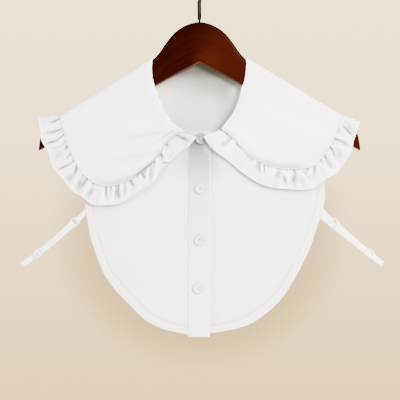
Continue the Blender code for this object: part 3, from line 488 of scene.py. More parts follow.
def between(a, b, c, d, t):
    """A smooth curve from b to c that heads for the places before and after them."""
    square = (2.0 * a - 5.0 * b + 4.0 * c - d) * t * t
    cube = (3.0 * b - a - 3.0 * c + d) * t ** 3
    return 0.5 * (2.0 * b + (c - a) * t + square + cube)


def curve_at(names, rows, column, at):
    """A smooth curve through one named column, at fractional row numbers."""
    values = np.array([row[names.index(column)] for row in rows])
    last = len(values) - 1
    at = np.clip(np.asarray(at, float), 0.0, last)
    i = np.minimum(at.astype(int), last - 1)
    before, after = np.maximum(i - 1, 0), np.minimum(i + 2, last)
    return between(values[before], values[i], values[i + 1], values[after], at - i)


def columns_at(names, rows, at, picked):
    """Some named columns of a table at fractional row numbers, each as a column."""
    return (curve_at(names, rows, name, at)[:, None] for name in picked)


def lengths_along(*steps):
    """The length so far at each place of a line, from its steps in each direction."""
    return np.concatenate([[0.0], np.cumsum(np.sqrt(sum(step ** 2 for step in steps)))])


def crowded(parts, pull):
    """Shares from 0 to 1 that crowd towards both ends."""
    even = np.linspace(0.0, 1.0, parts + 1)
    return (even - pull * np.sin(2.0 * math.pi * even) / (2.0 * math.pi))[None, :]


def pair(u, v, scale=MM):
    """The two numbers of a map at each place, in metres unless scale says otherwise."""
    return np.stack(np.broadcast_arrays(u, v), axis=-1) * scale


def even_rows(names, rows, x_column, drop_column, steps):
    """Row numbers evenly spaced along one edge, with the lengths there."""
    at = np.linspace(0.0, len(rows) - 1, (len(rows) - 1) * 16 + 1)
    x = curve_at(names, rows, x_column, at)
    drop = curve_at(names, rows, drop_column, at)
    length = lengths_along(np.diff(x), np.diff(drop))
    spaced = np.linspace(0.0, length[-1], steps + 1)
    return np.interp(spaced, length, at), spaced


def drift(along, spacing, seed):
    """A slow uneven line between -1 and 1, the same each time."""
    count = int(np.max(along) / spacing) + 3
    knots = np.random.default_rng(seed).uniform(-1.0, 1.0, count)
    at = np.asarray(along) / spacing
    i = np.clip(at.astype(int), 0, count - 2)
    t = at - i
    t = t * t * (3.0 - 2.0 * t)
    return knots[i] * (1.0 - t) + knots[i + 1] * t


def shoulder_line(x):
    return RIDGE_TOP - RIDGE_SLOPE * np.hypot(x, RIDGE_ROUND)


def body_point(x, drop):
    """The draped surface itself, in millimetres."""
    side = np.where(drop >= 0.0, 1.0, -1.0)
    along = np.abs(drop)
    quarter = ROLL * math.pi / 2.0
    angle = np.minimum(along, quarter) / ROLL
    out = ROLL * np.sin(angle)
    fall = ROLL * (1.0 - np.cos(angle)) + np.maximum(along - quarter, 0.0)
    hang = smooth_step(HANG_START, HANG_END, along)
    out = out + HANG_DEPTH * hang * (1.0 - 0.35 * (x / HANG_HALF_WIDTH) ** 2)
    soft = np.sin(x / SOFT_FOLD_PITCH + side) * np.cos(x / SOFT_FOLD_DRIFT)
    out = out + SOFT_FOLD * hang * soft
    places, depths = zip(*SETTLE_ROWS)
    sunk = np.interp(x, places, depths) * (1.0 - smooth_step(5.0, SETTLE_REACH, along))
    return np.stack([x, -side * out, shoulder_line(x) - fall - sunk], axis=-1)


def outward(x, drop):
    """The way out of the draped surface."""
    step = 0.4
    across = body_point(x + step, drop) - body_point(x - step, drop)
    down = body_point(x, drop + step) - body_point(x, drop - step)
    out = np.cross(down, across)
    return out / np.linalg.norm(out, axis=-1, keepdims=True)


def cloth_point(x, drop, lift):
    """A place on a layer that stands off the draped surface, in metres."""
    x = np.asarray(x, float)
    drop = np.asarray(drop, float)
    x, drop, lift = np.broadcast_arrays(x, drop, lift)
    return (body_point(x, drop) + outward(x, drop) * lift[..., None]) * MM


def drop_at(x, z):
    """The drop, down the front or the back, that hangs at a height."""
    return shoulder_line(x) - z - ROLL + ROLL * math.pi / 2.0


def fold_height(x, drop, folds):
    """The summed ridges of a table of folds."""
    total = np.zeros(np.broadcast(x, drop).shape)
    for from_x, from_drop, to_x, to_drop, height, width in folds:
        run_x = to_x - from_x
        run_drop = to_drop - from_drop
        t = ((x - from_x) * run_x + (drop - from_drop) * run_drop) / (run_x ** 2 + run_drop ** 2)
        held = np.clip(t, 0.0, 1.0)
        away = np.hypot(x - from_x - held * run_x, drop - from_drop - held * run_drop)
        total = total + height * np.sin(math.pi * (0.12 + 0.76 * held)) * bump(away, width)
    return total


def front_rise(x, drop):
    """What lies on the placket's top and its button is lifted clear of them."""
    over = 1.0 - smooth_step(10.0, TIP_REACH, np.abs(x))
    return np.where(drop > 0.0, TIP_RISE * over * bump(drop - TIP_DROP, TIP_REACH), 0.0)


def shade_at(rows, z):
    heights, shares = zip(*rows)
    return np.interp(z, heights, shares)


def inside_shade(x, z):
    """The back panel's shade, seen through the neck: deeper under the board's left arm."""
    dim = shade_at(INSIDE_SHADE, z)
    below = 1.0 - smooth_step(-162.0, -144.0, z)
    dim = dim * (1.0 - 0.6 * smooth_step(-22.0, -50.0, x) * below)
    band = smooth_step(-174.0, -148.0, z) * (1.0 - 0.8 * smooth_step(-142.0, -131.0, z))
    dim = dim + (1.0 - dim) * 0.40 * smooth_step(-24.0, 12.0, x) * band
    low = smooth_step(-240.0, -200.0, z) + smooth_step(-196.0, -158.0, z) * 0.5
    dim = dim + (1.0 - dim) * 0.2 * bump(x - 30.0, 9.0) * low * (1.0 - smooth_step(-152.0, -138.0, z))
    return dim * (1.0 - 0.85 * smooth_step(36.0, 46.0, x) * below)


def edge_distance(x, drop, line_x, line_drop):
    """How far each place is from a line of places, and how far along it."""
    run_x = np.diff(line_x)
    run_drop = np.diff(line_drop)
    size = np.maximum(run_x ** 2 + run_drop ** 2, 1e-9)
    lengths = lengths_along(np.sqrt(size))
    best = np.full(x.shape, 1e9)
    along = np.zeros(x.shape)
    for k in range(len(run_x)):
        t = ((x - line_x[k]) * run_x[k] + (drop - line_drop[k]) * run_drop[k]) / size[k]
        t = np.clip(t, 0.0, 1.0)
        away = np.hypot(x - line_x[k] - t * run_x[k], drop - line_drop[k] - t * run_drop[k])
        nearer = away < best
        best = np.where(nearer, away, best)
        along = np.where(nearer, lengths[k] + t * (lengths[k + 1] - lengths[k]), along)
    return best, along


# Modelling helpers

def only(item):
    """Makes one object active and alone selected."""
    bpy.ops.object.select_all(action="DESELECT")
    item.select_set(True)
    bpy.context.view_layer.objects.active = item


def apply_all(item):
    """Applies every modifier in turn."""
    only(item)
    for modifier in list(item.modifiers):
        bpy.ops.object.modifier_apply(modifier=modifier.name)


def close_normals(item):
    """Merges doubles and turns every face outwards."""
    only(item)
    bpy.ops.object.mode_set(mode="EDIT")
    bpy.ops.mesh.select_all(action="SELECT")
    bpy.ops.mesh.remove_doubles(threshold=0.00001)
    bpy.ops.mesh.normals_make_consistent(inside=False)
    bpy.ops.object.mode_set(mode="OBJECT")


def named(item, name):
    item.name = name
    item.data.name = name
    return item


def places_of(mesh):
    """The places of all the points, a row for each."""
    flat = np.empty(len(mesh.vertices) * 3)
    mesh.vertices.foreach_get("co", flat)
    return flat.reshape(-1, 3)


def reshape(mesh, points, maps):
    """Gives a mesh new places for its points, and these maps in place of its own."""
    mesh.vertices.foreach_set("co", points.ravel())
    while mesh.uv_layers:
        mesh.uv_layers.remove(mesh.uv_layers[0])
    for key, values in maps.items():
        write_map(mesh, key, values)
    mesh.update()


def write_map(mesh, name, values):
    """A UV map from one pair of numbers per point."""
    layer = mesh.uv_layers.get(name) or mesh.uv_layers.new(name=name)
    corner = np.empty(len(mesh.loops), np.int32)
    mesh.loops.foreach_get("vertex_index", corner)
    layer.data.foreach_set("uv", values[corner].astype(np.float32).ravel())


def finish_piece(item, material, nodes=()):
    """Gives a piece its material and smooth shading, hides the solid parts that it stands for and hangs it
    on the body.
    """
    item.data.materials.clear()
    item.data.materials.append(material)
    item.data.shade_smooth()
    if nodes:
        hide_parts(*nodes)
    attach(item, BODY)


def add_cloth(name, points, wall, maps, thick=None, thin=1.0, mirror=False, rim=0.00018):
    """A grid primitive pulled to its points and given its wall.

    points is rows x columns x 3, and maps are its UV maps. thick, from 0 to 1,
    says where the wall is full, and thin is the share that is left elsewhere.
    mirror adds the other half, and rim is how far the edges are rounded.
    """
    rows, columns = points.shape[0] - 1, points.shape[1] - 1
    bpy.ops.object.select_all(action="DESELECT")
    bpy.ops.mesh.primitive_grid_add(
        x_subdivisions=columns, y_subdivisions=rows, size=1.0, location=(0, 0, 0),
    )
    piece = named(bpy.context.object, name)
    flat = places_of(piece.data)
    if len(flat) != (rows + 1) * (columns + 1):
        raise RuntimeError("the grid for %s has %d points" % (name, len(flat)))
    j = np.rint((flat[:, 0] + 0.5) * columns).astype(int)
    i = np.rint((flat[:, 1] + 0.5) * rows).astype(int)
    reshape(piece.data, points[i, j], {key: values[i, j] for key, values in maps.items()})
    if thick is not None:
        group = piece.vertex_groups.new(name="thick")
        level = np.rint(np.clip(thick[i, j], 0.0, 1.0) * THICK_LEVELS).astype(int)
        for k in range(1, THICK_LEVELS + 1):
            group.add(np.nonzero(level == k)[0].tolist(), k / THICK_LEVELS, "REPLACE")
    if mirror:
        half = piece.modifiers.new("other half", "MIRROR")
        half.use_clip = True
        half.use_mirror_merge = True
        half.merge_threshold = 0.00002
        apply_all(piece)
    solid = piece.modifiers.new("wall", "SOLIDIFY")
    solid.thickness = wall
    solid.offset = 0.0
    if thick is not None:
        solid.vertex_group = "thick"
        solid.thickness_vertex_group = thin
    soft = piece.modifiers.new("soft rim", "BEVEL")
    soft.width = rim
    soft.segments = 2
    soft.limit_method = "ANGLE"
    soft.angle_limit = math.radians(62.0)
    apply_all(piece)
    piece.vertex_groups.clear()
    return piece


def add_tube(name, path, radius, sizes=None, closed=False, sides=8):
    """A round wire along a path, made a mesh."""
    data = bpy.data.curves.new(name, "CURVE")
    data.dimensions = "3D"
    data.bevel_depth = radius
    data.bevel_resolution = sides // 2 - 2
    data.use_fill_caps = True
    spline = data.splines.new("POLY")
    spline.points.add(len(path) - 1)
    for k, place in enumerate(path):
        spline.points[k].co = (*place, 1.0)
        spline.points[k].radius = 1.0 if sizes is None else sizes[k]
    spline.use_cyclic_u = closed
    item = bpy.data.objects.new(name, data)
    bpy.context.scene.collection.objects.link(item)
    only(item)
    bpy.ops.object.convert(target="MESH")
    item = named(bpy.context.object, name)
    close_normals(item)
    return item


def smooth_path(points, steps):
    """The same path with more points, by a curve through each."""
    found = []
    last = len(points) - 1
    for i in range(last):
        before, after = points[max(0, i - 1)], points[min(last, i + 2)]
        for k in range(steps):
            found.append(between(before, points[i], points[i + 1], after, k / steps))
    found.append(points[-1])
    return found


# Shader groups, each used by more than one material

def tint(colour, share=1.0):
    """A colour scaled by one number or by three, with an alpha of 1."""
    return (*np.multiply(colour, share).tolist(), 1.0)


class Wiring:
    """Puts nodes in one tree and links them."""

    def __init__(self, tree):
        self.tree = tree

    def node(self, kind, **values):
        node = self.tree.nodes.new(kind)
        for key, value in values.items():
            setattr(node, key, value)
        return node

    def feed(self, socket, value):
        if hasattr(value, "is_output"):
            self.tree.links.new(value, socket)
        elif value is not None:
            socket.default_value = value

    def feed_all(self, node, values):
        for key, value in values.items():
            self.feed(node.inputs[key], value)
        return node.outputs

    def maths(self, operation, *values, clamp=False):
        node = self.node("ShaderNodeMath", operation=operation, use_clamp=clamp)
        return self.feed_all(node, dict(enumerate(values)))[0]

    def plus(self, first, second, clamp=False):
        return self.maths("ADD", first, second, clamp=clamp)

    def minus(self, first, second):
        return self.maths("SUBTRACT", first, second)

    def times(self, first, second):
        return self.maths("MULTIPLY", first, second)

    def over(self, first, second):
        return self.maths("DIVIDE", first, second)

    def wave(self, value):
        return self.maths("ABSOLUTE", self.maths("SINE", value))

    def ramp(self, value, low, high, to_low=0.0, to_high=1.0):
        node = self.node("ShaderNodeMapRange", interpolation_type="SMOOTHSTEP")
        return self.feed_all(node, dict(enumerate((value, low, high, to_low, to_high))))["Result"]

    def mix(self, share, first, second):
        node = self.node("ShaderNodeMix", data_type="RGBA")
        return self.feed_all(node, {0: share, 6: first, 7: second})[2]

    def noise(self, vector, scale, detail=2.0, roughness=0.5):
        values = {"Vector": vector, "Scale": scale, "Detail": detail, "Roughness": roughness}
        return self.feed_all(self.node("ShaderNodeTexNoise"), values)["Fac"]

    def bump(self, height, strength, distance, before=None):
        values = {"Height": height, "Strength": strength, "Distance": distance, "Normal": before}
        return self.feed_all(self.node("ShaderNodeBump"), values)["Normal"]

    def scaled(self, vector, x, y, z):
        node = self.node("ShaderNodeVectorMath", operation="MULTIPLY")
        return self.feed_all(node, {0: vector, 1: (x, y, z)})[0]

    def split(self, vector):
        """The x, y and z of a vector."""
        return self.feed_all(self.node("ShaderNodeSeparateXYZ"), {0: vector})

    def place(self, kind="Object"):
        return self.node("ShaderNodeTexCoord").outputs[kind]

    def uv(self, name):
        return self.node("ShaderNodeUVMap", uv_map=name).outputs[0]

    def facing(self):
        """The x, y and z of the way that the surface faces."""
        return self.split(self.node("ShaderNodeNewGeometry").outputs["Normal"])

    def group(self, name, **values):
        node = self.node("ShaderNodeGroup", node_tree=bpy.data.node_groups[name])
        return self.feed_all(node, {key.title(): value for key, value in values.items()})

    def tone(self, size, contrast):
        return self.group("soft tone", size=size, contrast=contrast)["Tone"]

    def wear(self, low, high):
        return self.group("edge wear", low=low, high=high)["Mask"]


def new_group(name, inputs, outputs):
    """An empty group. An input without a default is a vector and all else is a number."""
    tree = bpy.data.node_groups.new(name, "ShaderNodeTree")
    for label, default in inputs.items():
        kind = "NodeSocketVector" if default is None else "NodeSocketFloat"
        socket = tree.interface.new_socket(name=label, in_out="INPUT", socket_type=kind)
        if default is not None:
            socket.default_value = default
    for label in outputs:
        tree.interface.new_socket(name=label, in_out="OUTPUT", socket_type="NodeSocketFloat")
    source = tree.nodes.new("NodeGroupInput").outputs
    return Wiring(tree), source, tree.nodes.new("NodeGroupOutput")


def plain_weave_group():
    """Threads over and under each other, with slubs."""
    inputs = {"Map": None, "Threads": 2400.0, "Slub": 0.4}
    w, source, out = new_group("plain weave", inputs, ("Height", "Shade"))
    parts = w.split(source["Map"])
    u = w.times(parts[0], source["Threads"])
    v = w.times(parts[1], source["Threads"])
    square = w.plus(w.maths("FLOOR", u), w.maths("FLOOR", v))
    over = w.maths("MODULO", w.maths("ABSOLUTE", square), 2.0)
    warp = w.times(w.wave(w.times(u, math.pi)), over)
    weft = w.times(w.wave(w.times(v, math.pi)), w.minus(1.0, over))
    long_way = w.noise(w.scaled(source["Map"], 60.0, 900.0, 1.0), 1.0, 3.0)
    cross_way = w.noise(w.scaled(source["Map"], 900.0, 60.0, 1.0), 1.0, 3.0)
    slub = w.plus(w.minus(long_way, 0.5), w.minus(cross_way, 0.5))
    height = w.plus(w.plus(warp, weft), w.times(slub, source["Slub"]))
    w.feed_all(out, {"Height": height, "Shade": w.ramp(height, -0.2, 1.0)})


def stitch_row_group():
    """One row of machine stitches beside an edge, with the pinch round it."""
    inputs = {"Map": None, "Place": 0.007, "Spacing": 0.0026, "Width": 0.0006}
    w, source, out = new_group("stitch row", inputs, ("Mask", "Height"))
    parts = w.split(source["Map"])
    width = source["Width"]
    away = w.maths("ABSOLUTE", w.minus(parts[1], source["Place"]))
    row = w.ramp(away, w.times(width, 0.25), w.times(width, 0.6), 1.0, 0.0)
    step = w.maths("FRACT", w.over(parts[0], source["Spacing"]))
    mask = w.times(row, w.times(w.ramp(step, 0.05, 0.2), w.ramp(step, 0.82, 0.97, 1.0, 0.0)))
    pinch = w.ramp(away, 0.0, w.times(width, 3.0), 1.0, 0.0)
    w.feed_all(out, {"Mask": mask, "Height": w.minus(w.times(mask, 1.2), pinch)})


def soft_tone_group():
    """Slow patches of tone, such as pressing leaves in cloth or oil in wood."""
    w, source, out = new_group("soft tone", {"Size": 0.05, "Contrast": 1.0}, ("Tone",))
    scale = w.over(1.0, source["Size"])
    wide = w.noise(w.place(), scale)
    fine = w.noise(w.place(), w.times(scale, 4.3))
    both = w.plus(w.times(wide, 0.7), w.times(fine, 0.3))
    centred = w.times(w.minus(both, 0.5), source["Contrast"])
    w.feed_all(out, {"Tone": w.plus(centred, 0.5, clamp=True)})


def edge_wear_group():
    """A mask that is 1 along convex edges of a solid."""
    w, source, out = new_group("edge wear", {"Low": 0.52, "High": 0.62}, ("Mask",))
    sharp = w.node("ShaderNodeNewGeometry").outputs["Pointiness"]
    edge = w.ramp(sharp, source["Low"], source["High"])
    patch = w.noise(w.place(), 160.0, 3.0)
    w.feed_all(out, {"Mask": w.times(edge, w.ramp(patch, 0.3, 0.7))})


# Materials

def new_material(name, levels):
    """A material's wiring and its shader, with the shader's own levels set."""
    material = bpy.data.materials.new(name)
    material.use_nodes = True
    w = Wiring(material.node_tree)
    shader = material.node_tree.nodes["Principled BSDF"]
    w.feed_all(shader, levels)
    return w, shader


def cloth_material(name, colour, threads, stitches_at, spacing, crinkle, shading, outside):
    """Woven cotton: colour between two tones, weave, a row of stitches, pressing marks.

    stitches_at is how far the row is from the edge. shading, from 0 to 1, is how
    far the shaded places of the map darken, and outside says that only the sides
    that face the front do.
    """
    levels = {"Specular IOR Level": 0.18, "Sheen Weight": 0.1, "Sheen Roughness": 0.45}
    w, shader = new_material(name, levels)
    weave = w.group("plain weave", map=w.uv("cloth"), threads=threads, slub=0.5)
    body = w.mix(w.tone(0.045, 1.5), tint(colour, 0.92), tint(colour))
    body = w.mix(w.times(w.minus(1.0, weave["Shade"]), 0.22), body, tint(colour, 0.9))
    normal = w.bump(w.noise(w.place(), 34.0, 3.0, 0.45), 0.35, crinkle)
    normal = w.bump(weave["Height"], 0.35, 0.00008, normal)
    row = w.group("stitch row", map=w.uv("hems"), place=stitches_at, spacing=spacing)
    body = w.mix(w.times(row["Mask"], 0.6), body, STITCH_COLOUR)
    normal = w.bump(row["Height"], 0.8, 0.00022, normal)
    share = w.times(w.split(w.uv("shade"))[0], shading)
    if outside:
        share = w.times(share, w.ramp(w.times(w.facing()[1], -1.0), 0.0, 0.3))
    body = w.mix(share, body, tint(colour, DEEPEST_SHADE))
    rough = w.ramp(weave["Height"], 0.0, 1.0, 0.92, 0.8)
    w.feed_all(shader, {"Base Color": body, "Roughness": rough, "Normal": normal})


def web_material(name, colour):
    """Knitted elastic: fine ribs along it and crossing picks."""
    w, shader = new_material(name, {"Sheen Weight": 0.1})
    parts = w.split(w.uv("cloth"))
    rib = w.wave(w.times(parts[1], 3600.0))
    pick = w.wave(w.times(parts[0], 2600.0))
    height = w.plus(w.times(rib, 0.65), w.times(pick, 0.35))
    dark = tint(colour, 0.8)
    body = w.mix(w.ramp(height, 0.15, 0.85), dark, tint(colour))
    body = w.mix(w.times(w.tone(0.02, 1.2), 0.12), body, dark)
    rough = w.ramp(height, 0.0, 1.0, 0.85, 0.65)
    normal = w.bump(height, 0.7, 0.00018)
    w.feed_all(shader, {"Base Color": body, "Roughness": rough, "Normal": normal})


def plastic_material(name, colour, dished=False):
    """Moulded plastic with a faint swirl and duller worn edges.

    dished paints shade into a button's dish, the places of its holes and a ring round its outer rim.
    """
    w, shader = new_material(name, {"Specular IOR Level": 0.45})
    tone = w.tone(0.006, 1.6)
    wear = w.wear(0.53, 0.66)
    body = w.mix(tone, tint(colour, 0.93), tint(colour))
    body = w.mix(w.times(wear, 0.3), body, tint(colour, 1.1))
    if dished:
        size = w.node("ShaderNodeVectorMath", operation="LENGTH")
        out = w.feed_all(size, {0: w.uv("face")})["Value"]
        step = w.times(w.ramp(out, 0.0039, 0.0046), w.ramp(out, 0.0050, 0.0057, 1.0, 0.0))
        holes = w.ramp(out, 0.0022, 0.0030, 1.0, 0.0)
        side = w.ramp(out, 0.0059, 0.0066)
        shade = w.plus(w.times(step, 0.5), w.times(holes, 0.55))
        body = w.mix(w.plus(shade, w.times(side, 0.72)), body, tint(colour, 0.2))
    rough = w.plus(w.times(wear, 0.25), w.ramp(tone, 0.2, 0.8, 0.26, 0.38))
    normal = w.bump(tone, 0.15, 0.0002)
    w.feed_all(shader, {"Base Color": body, "Roughness": rough, "Normal": normal})


def thread_material(name, colour):
    """Twisted sewing thread."""
    w, shader = new_material(name, {"Roughness": 0.75, "Sheen Weight": 0.15})
    twist = w.noise(w.scaled(w.place(), 1.0, 1.0, 1.6), 2600.0)
    body = w.mix(w.ramp(twist, 0.35, 0.65), tint(colour, 0.78), tint(colour))
    w.feed_all(shader, {"Base Color": body, "Normal": w.bump(twist, 0.6, 0.0001)})


def wood_material(name, dark, light):
    """Varnished mahogany: streaks along the arm, pores, painted shade on the top edges that face up, a
    lighter lower edge, and convex edges lightened by wear and a painted highlight.
    """
    levels = {"Coat Roughness": 0.16, "Specular IOR Level": 0.1, "IOR": 1.06}
    w, shader = new_material(name, levels)
    grain = w.uv("grain")
    x, _, z = w.split(w.place())
    up = w.facing()[2]
    bent = w.noise(w.scaled(grain, 9.0, 40.0, 1.0), 1.0, 3.0)
    streak = w.noise(w.scaled(grain, 14.0, 420.0, 1.0), 1.0, 5.0, 0.62)
    band = w.noise(w.scaled(grain, 3.0, 75.0, 1.0), 1.0)
    pores = w.ramp(w.noise(w.scaled(grain, 110.0, 3000.0, 1.0), 1.0), 0.60, 0.72)
    blend = w.plus(w.plus(w.times(streak, 0.5), w.times(band, 0.35)), w.times(bent, 0.15))
    # A lighter orange patch low in the middle.
    across = w.minus(x, 0.011)
    above = w.plus(z, 0.121)
    away = w.maths("SQRT", w.plus(w.times(across, across), w.times(above, above)))
    body = w.mix(w.ramp(blend, 0.36, 0.66), tint(dark), tint(light))
    for share, colour in (
        (w.times(pores, 0.55), tint(dark, 0.35)),
        (w.times(w.tone(0.06, 1.6), 0.3), tint(dark, 0.6)),
        (w.ramp(x, -0.02, 0.025, 0.0, 0.7), tint(light, 1.5)),
        # Painted shade: faces that look up are darker.
        (w.ramp(up, 0.15, 0.75, 0.0, 0.9), tint(dark, 0.12)),
        (w.ramp(away, 0.004, 0.026, 0.5, 0.0), PATCH_COLOUR),
        (w.ramp(z, -0.096, -0.076, 0.0, 0.3), tint(dark, 0.3)),
        (w.ramp(w.times(up, -1.0), 0.3, 0.8, 0.0, 0.8), UNDERSIDE_COLOUR),
        # Convex edges are lighter, partly by wear and partly as a painted highlight.
        (w.times(w.wear(0.52, 0.6), 0.15), tint(light, 1.8)),
    ):
        body = w.mix(share, body, colour)
    rough = w.plus(w.ramp(blend, 0.3, 0.7, 0.24, 0.36), w.times(pores, 0.2))
    rough = w.plus(rough, w.ramp(up, 0.1, 0.5, 0.0, 0.5), clamp=True)
    coat = w.ramp(up, 0.05, 0.3, 0.01, 0.0)
    normal = w.bump(w.minus(w.times(streak, 0.4), pores), 0.25, 0.00012)
    w.feed_all(shader, {"Base Color": body, "Roughness": rough, "Coat Weight": coat, "Normal": normal})


def metal_material(name, colour):
    """Dark lacquered wire with faint scratches along it, and a painted highlight where it faces the front.
    """
    w, shader = new_material(name, {"Specular IOR Level": 0.04, "IOR": 1.1})
    scratch = w.noise(w.scaled(w.place(), 300.0, 2400.0, 300.0), 1.0, 3.0)
    # Painted highlight: the wire is lighter where it faces the front.
    front_highlight = w.ramp(w.times(w.facing()[1], -1.0), 0.88, 0.99, 0.0, 0.7)
    body = w.mix(w.tone(0.012, 1.8), tint(colour), tint(colour, 1.9))
    body = w.mix(front_highlight, body, WIRE_HIGHLIGHT_COLOUR)
    body = w.mix(w.times(w.wear(0.5, 0.7), 0.1), body, WORN_WIRE_COLOUR)
    rough = w.ramp(scratch, 0.3, 0.7, 0.6, 0.72)
    normal = w.bump(scratch, 0.05, 0.00002)
    w.feed_all(shader, {"Base Color": body, "Roughness": rough, "Normal": normal})


def floor_material(name, colour):
    w, shader = new_material(name, {"Roughness": 0.9})
    w.feed_all(shader, {"Base Color": w.mix(w.tone(0.4, 0.8), tint(colour, 0.96), tint(colour))})


def material_named(name):
    found = bpy.data.materials.get(name)
    if found is None:
        raise RuntimeError("make the finishes first: %s is missing" % name)
    return found


# The pieces

def leaf_rows(front_rows, side):
    """A leaf's rows from the centre front over the shoulder to the centre back."""
    flip = (side, 1, side, 1, side, 1, 1)
    return front_rows + tuple(tuple(np.multiply(row, flip).tolist()) for row in BACK_ROWS)


def wave_turn(length, shift):
    """How far round its wave the frill is at a length of seam, unevenly."""
    uneven = 0.30 * np.sin(length / 9.7 + shift) + 0.24 * np.sin(length / 5.9 + 2.0 * shift)
    return 2.0 * math.pi * (length / WAVE_PITCH + 0.16 * uneven) + shift


def wave_strength(length, shift):
    return 0.86 + 0.2 * np.sin(length / 13.0 + shift) + 0.12 * np.sin(length / 31.0 - shift)


def crease(turn):
    """Round ridges with a sharp trough between each two, about level on the whole."""
    return 1.0 - 2.0 * (1.0 - np.abs(np.sin(turn * 0.5))) ** 2 - 0.55


def leaf_lift(x, drop, from_neck, from_seam):
    """How far a leaf stands off: rolled at the neck, raised at the seam, folded between."""
    rolled = NECK_ROLL * (1.0 - 0.8 * bump(drop, 20.0))
    lift = LEAF_LIFT + rolled * bump(from_neck - NECK_ROLL_AT, 9.0)
    lift = lift + (LEAF_SEAM_LIFT - LEAF_LIFT) * bump(from_seam, 11.0)
    lift = lift + ROLL_LIFT * bump(drop, 16.0)
    return lift + fold_height(x, drop, LEAF_FOLDS) + front_rise(x, drop)


def make_leaf(name, front_rows, side, shift, wall, pucker):
    """One collar leaf: flat cloth rolled at the neck and puckered at its seam."""
    rows = leaf_rows(front_rows, side)
    at, along = even_rows(LEAF_COLUMNS, rows, "seam_x", "seam_drop", LEAF_GRID[0])
    neck_x, neck_drop, seam_x, seam_drop = columns_at(LEAF_COLUMNS, rows, at, LEAF_COLUMNS[:4])
    width = np.hypot(seam_x - neck_x, seam_drop - neck_drop)
    share = crowded(LEAF_GRID[1], 0.55)
    x = neck_x + (seam_x - neck_x) * share
    drop = neck_drop + (seam_drop - neck_drop) * share
    from_seam = width * (1.0 - share)
    lift = leaf_lift(x, drop, width * share, from_seam)
    lift = lift + fold_height(x, drop, FAINT_FOLDS) * smooth_step(0.0, 12.0, from_seam)
    gathers = np.sin(wave_turn(along, shift) * 2.0)[:, None]
    lift = lift + pucker * bump(from_seam, 4.5) * gathers * smooth_step(0.0, 12.0, width)
    # The neck edge turns inwards and down to the body's own neckline.
    turn = np.linspace(1.0, 0.0, LEAF_TURN_STEPS + 1)[:-1][None, :] * math.pi / 2.0
    inward = NECK_TURN * np.sin(turn) / np.maximum(width, 4.0)
    turn_x = neck_x - (seam_x - neck_x) * inward
    turn_drop = neck_drop - (seam_drop - neck_drop) * inward
    first = lift[:, :1]
    turn_lift = first - (first - 0.35) * (1.0 - np.cos(turn))
    x = np.hstack([turn_x, x])
    drop = np.hstack([turn_drop, drop])
    lift = np.hstack([turn_lift, lift])
    from_seam = np.hstack([np.broadcast_to(width, turn_x.shape), from_seam])
    # Shade gathers in the troughs and along the inside of the seam.
    pressed = fold_height(x, drop, LEAF_FOLDS + FAINT_FOLDS)
    dip = LEAF_SHADE + 0.8 * np.maximum(-pressed, 0.0) - 0.1 * np.maximum(pressed, 0.0)
    inner = 1.0 - smooth_step(95.0, 130.0, along)[:, None]
    dip = dip + (0.06 + 0.42 * inner) * bump(from_seam - 2.5, 4.2) * smooth_step(0.0, 1.2, from_seam)
    dip = dip * smooth_step(-1.0, 2.6, np.hstack([np.zeros_like(turn_x), width * share]))
    maps = {
        "cloth": pair(x, drop), "hems": pair(along[:, None], from_seam),
        "shade": pair(np.clip(dip, 0.0, 1.0), 0.0, 1.0),
    }
    return add_cloth(name, cloth_point(x, drop, lift), wall, maps)


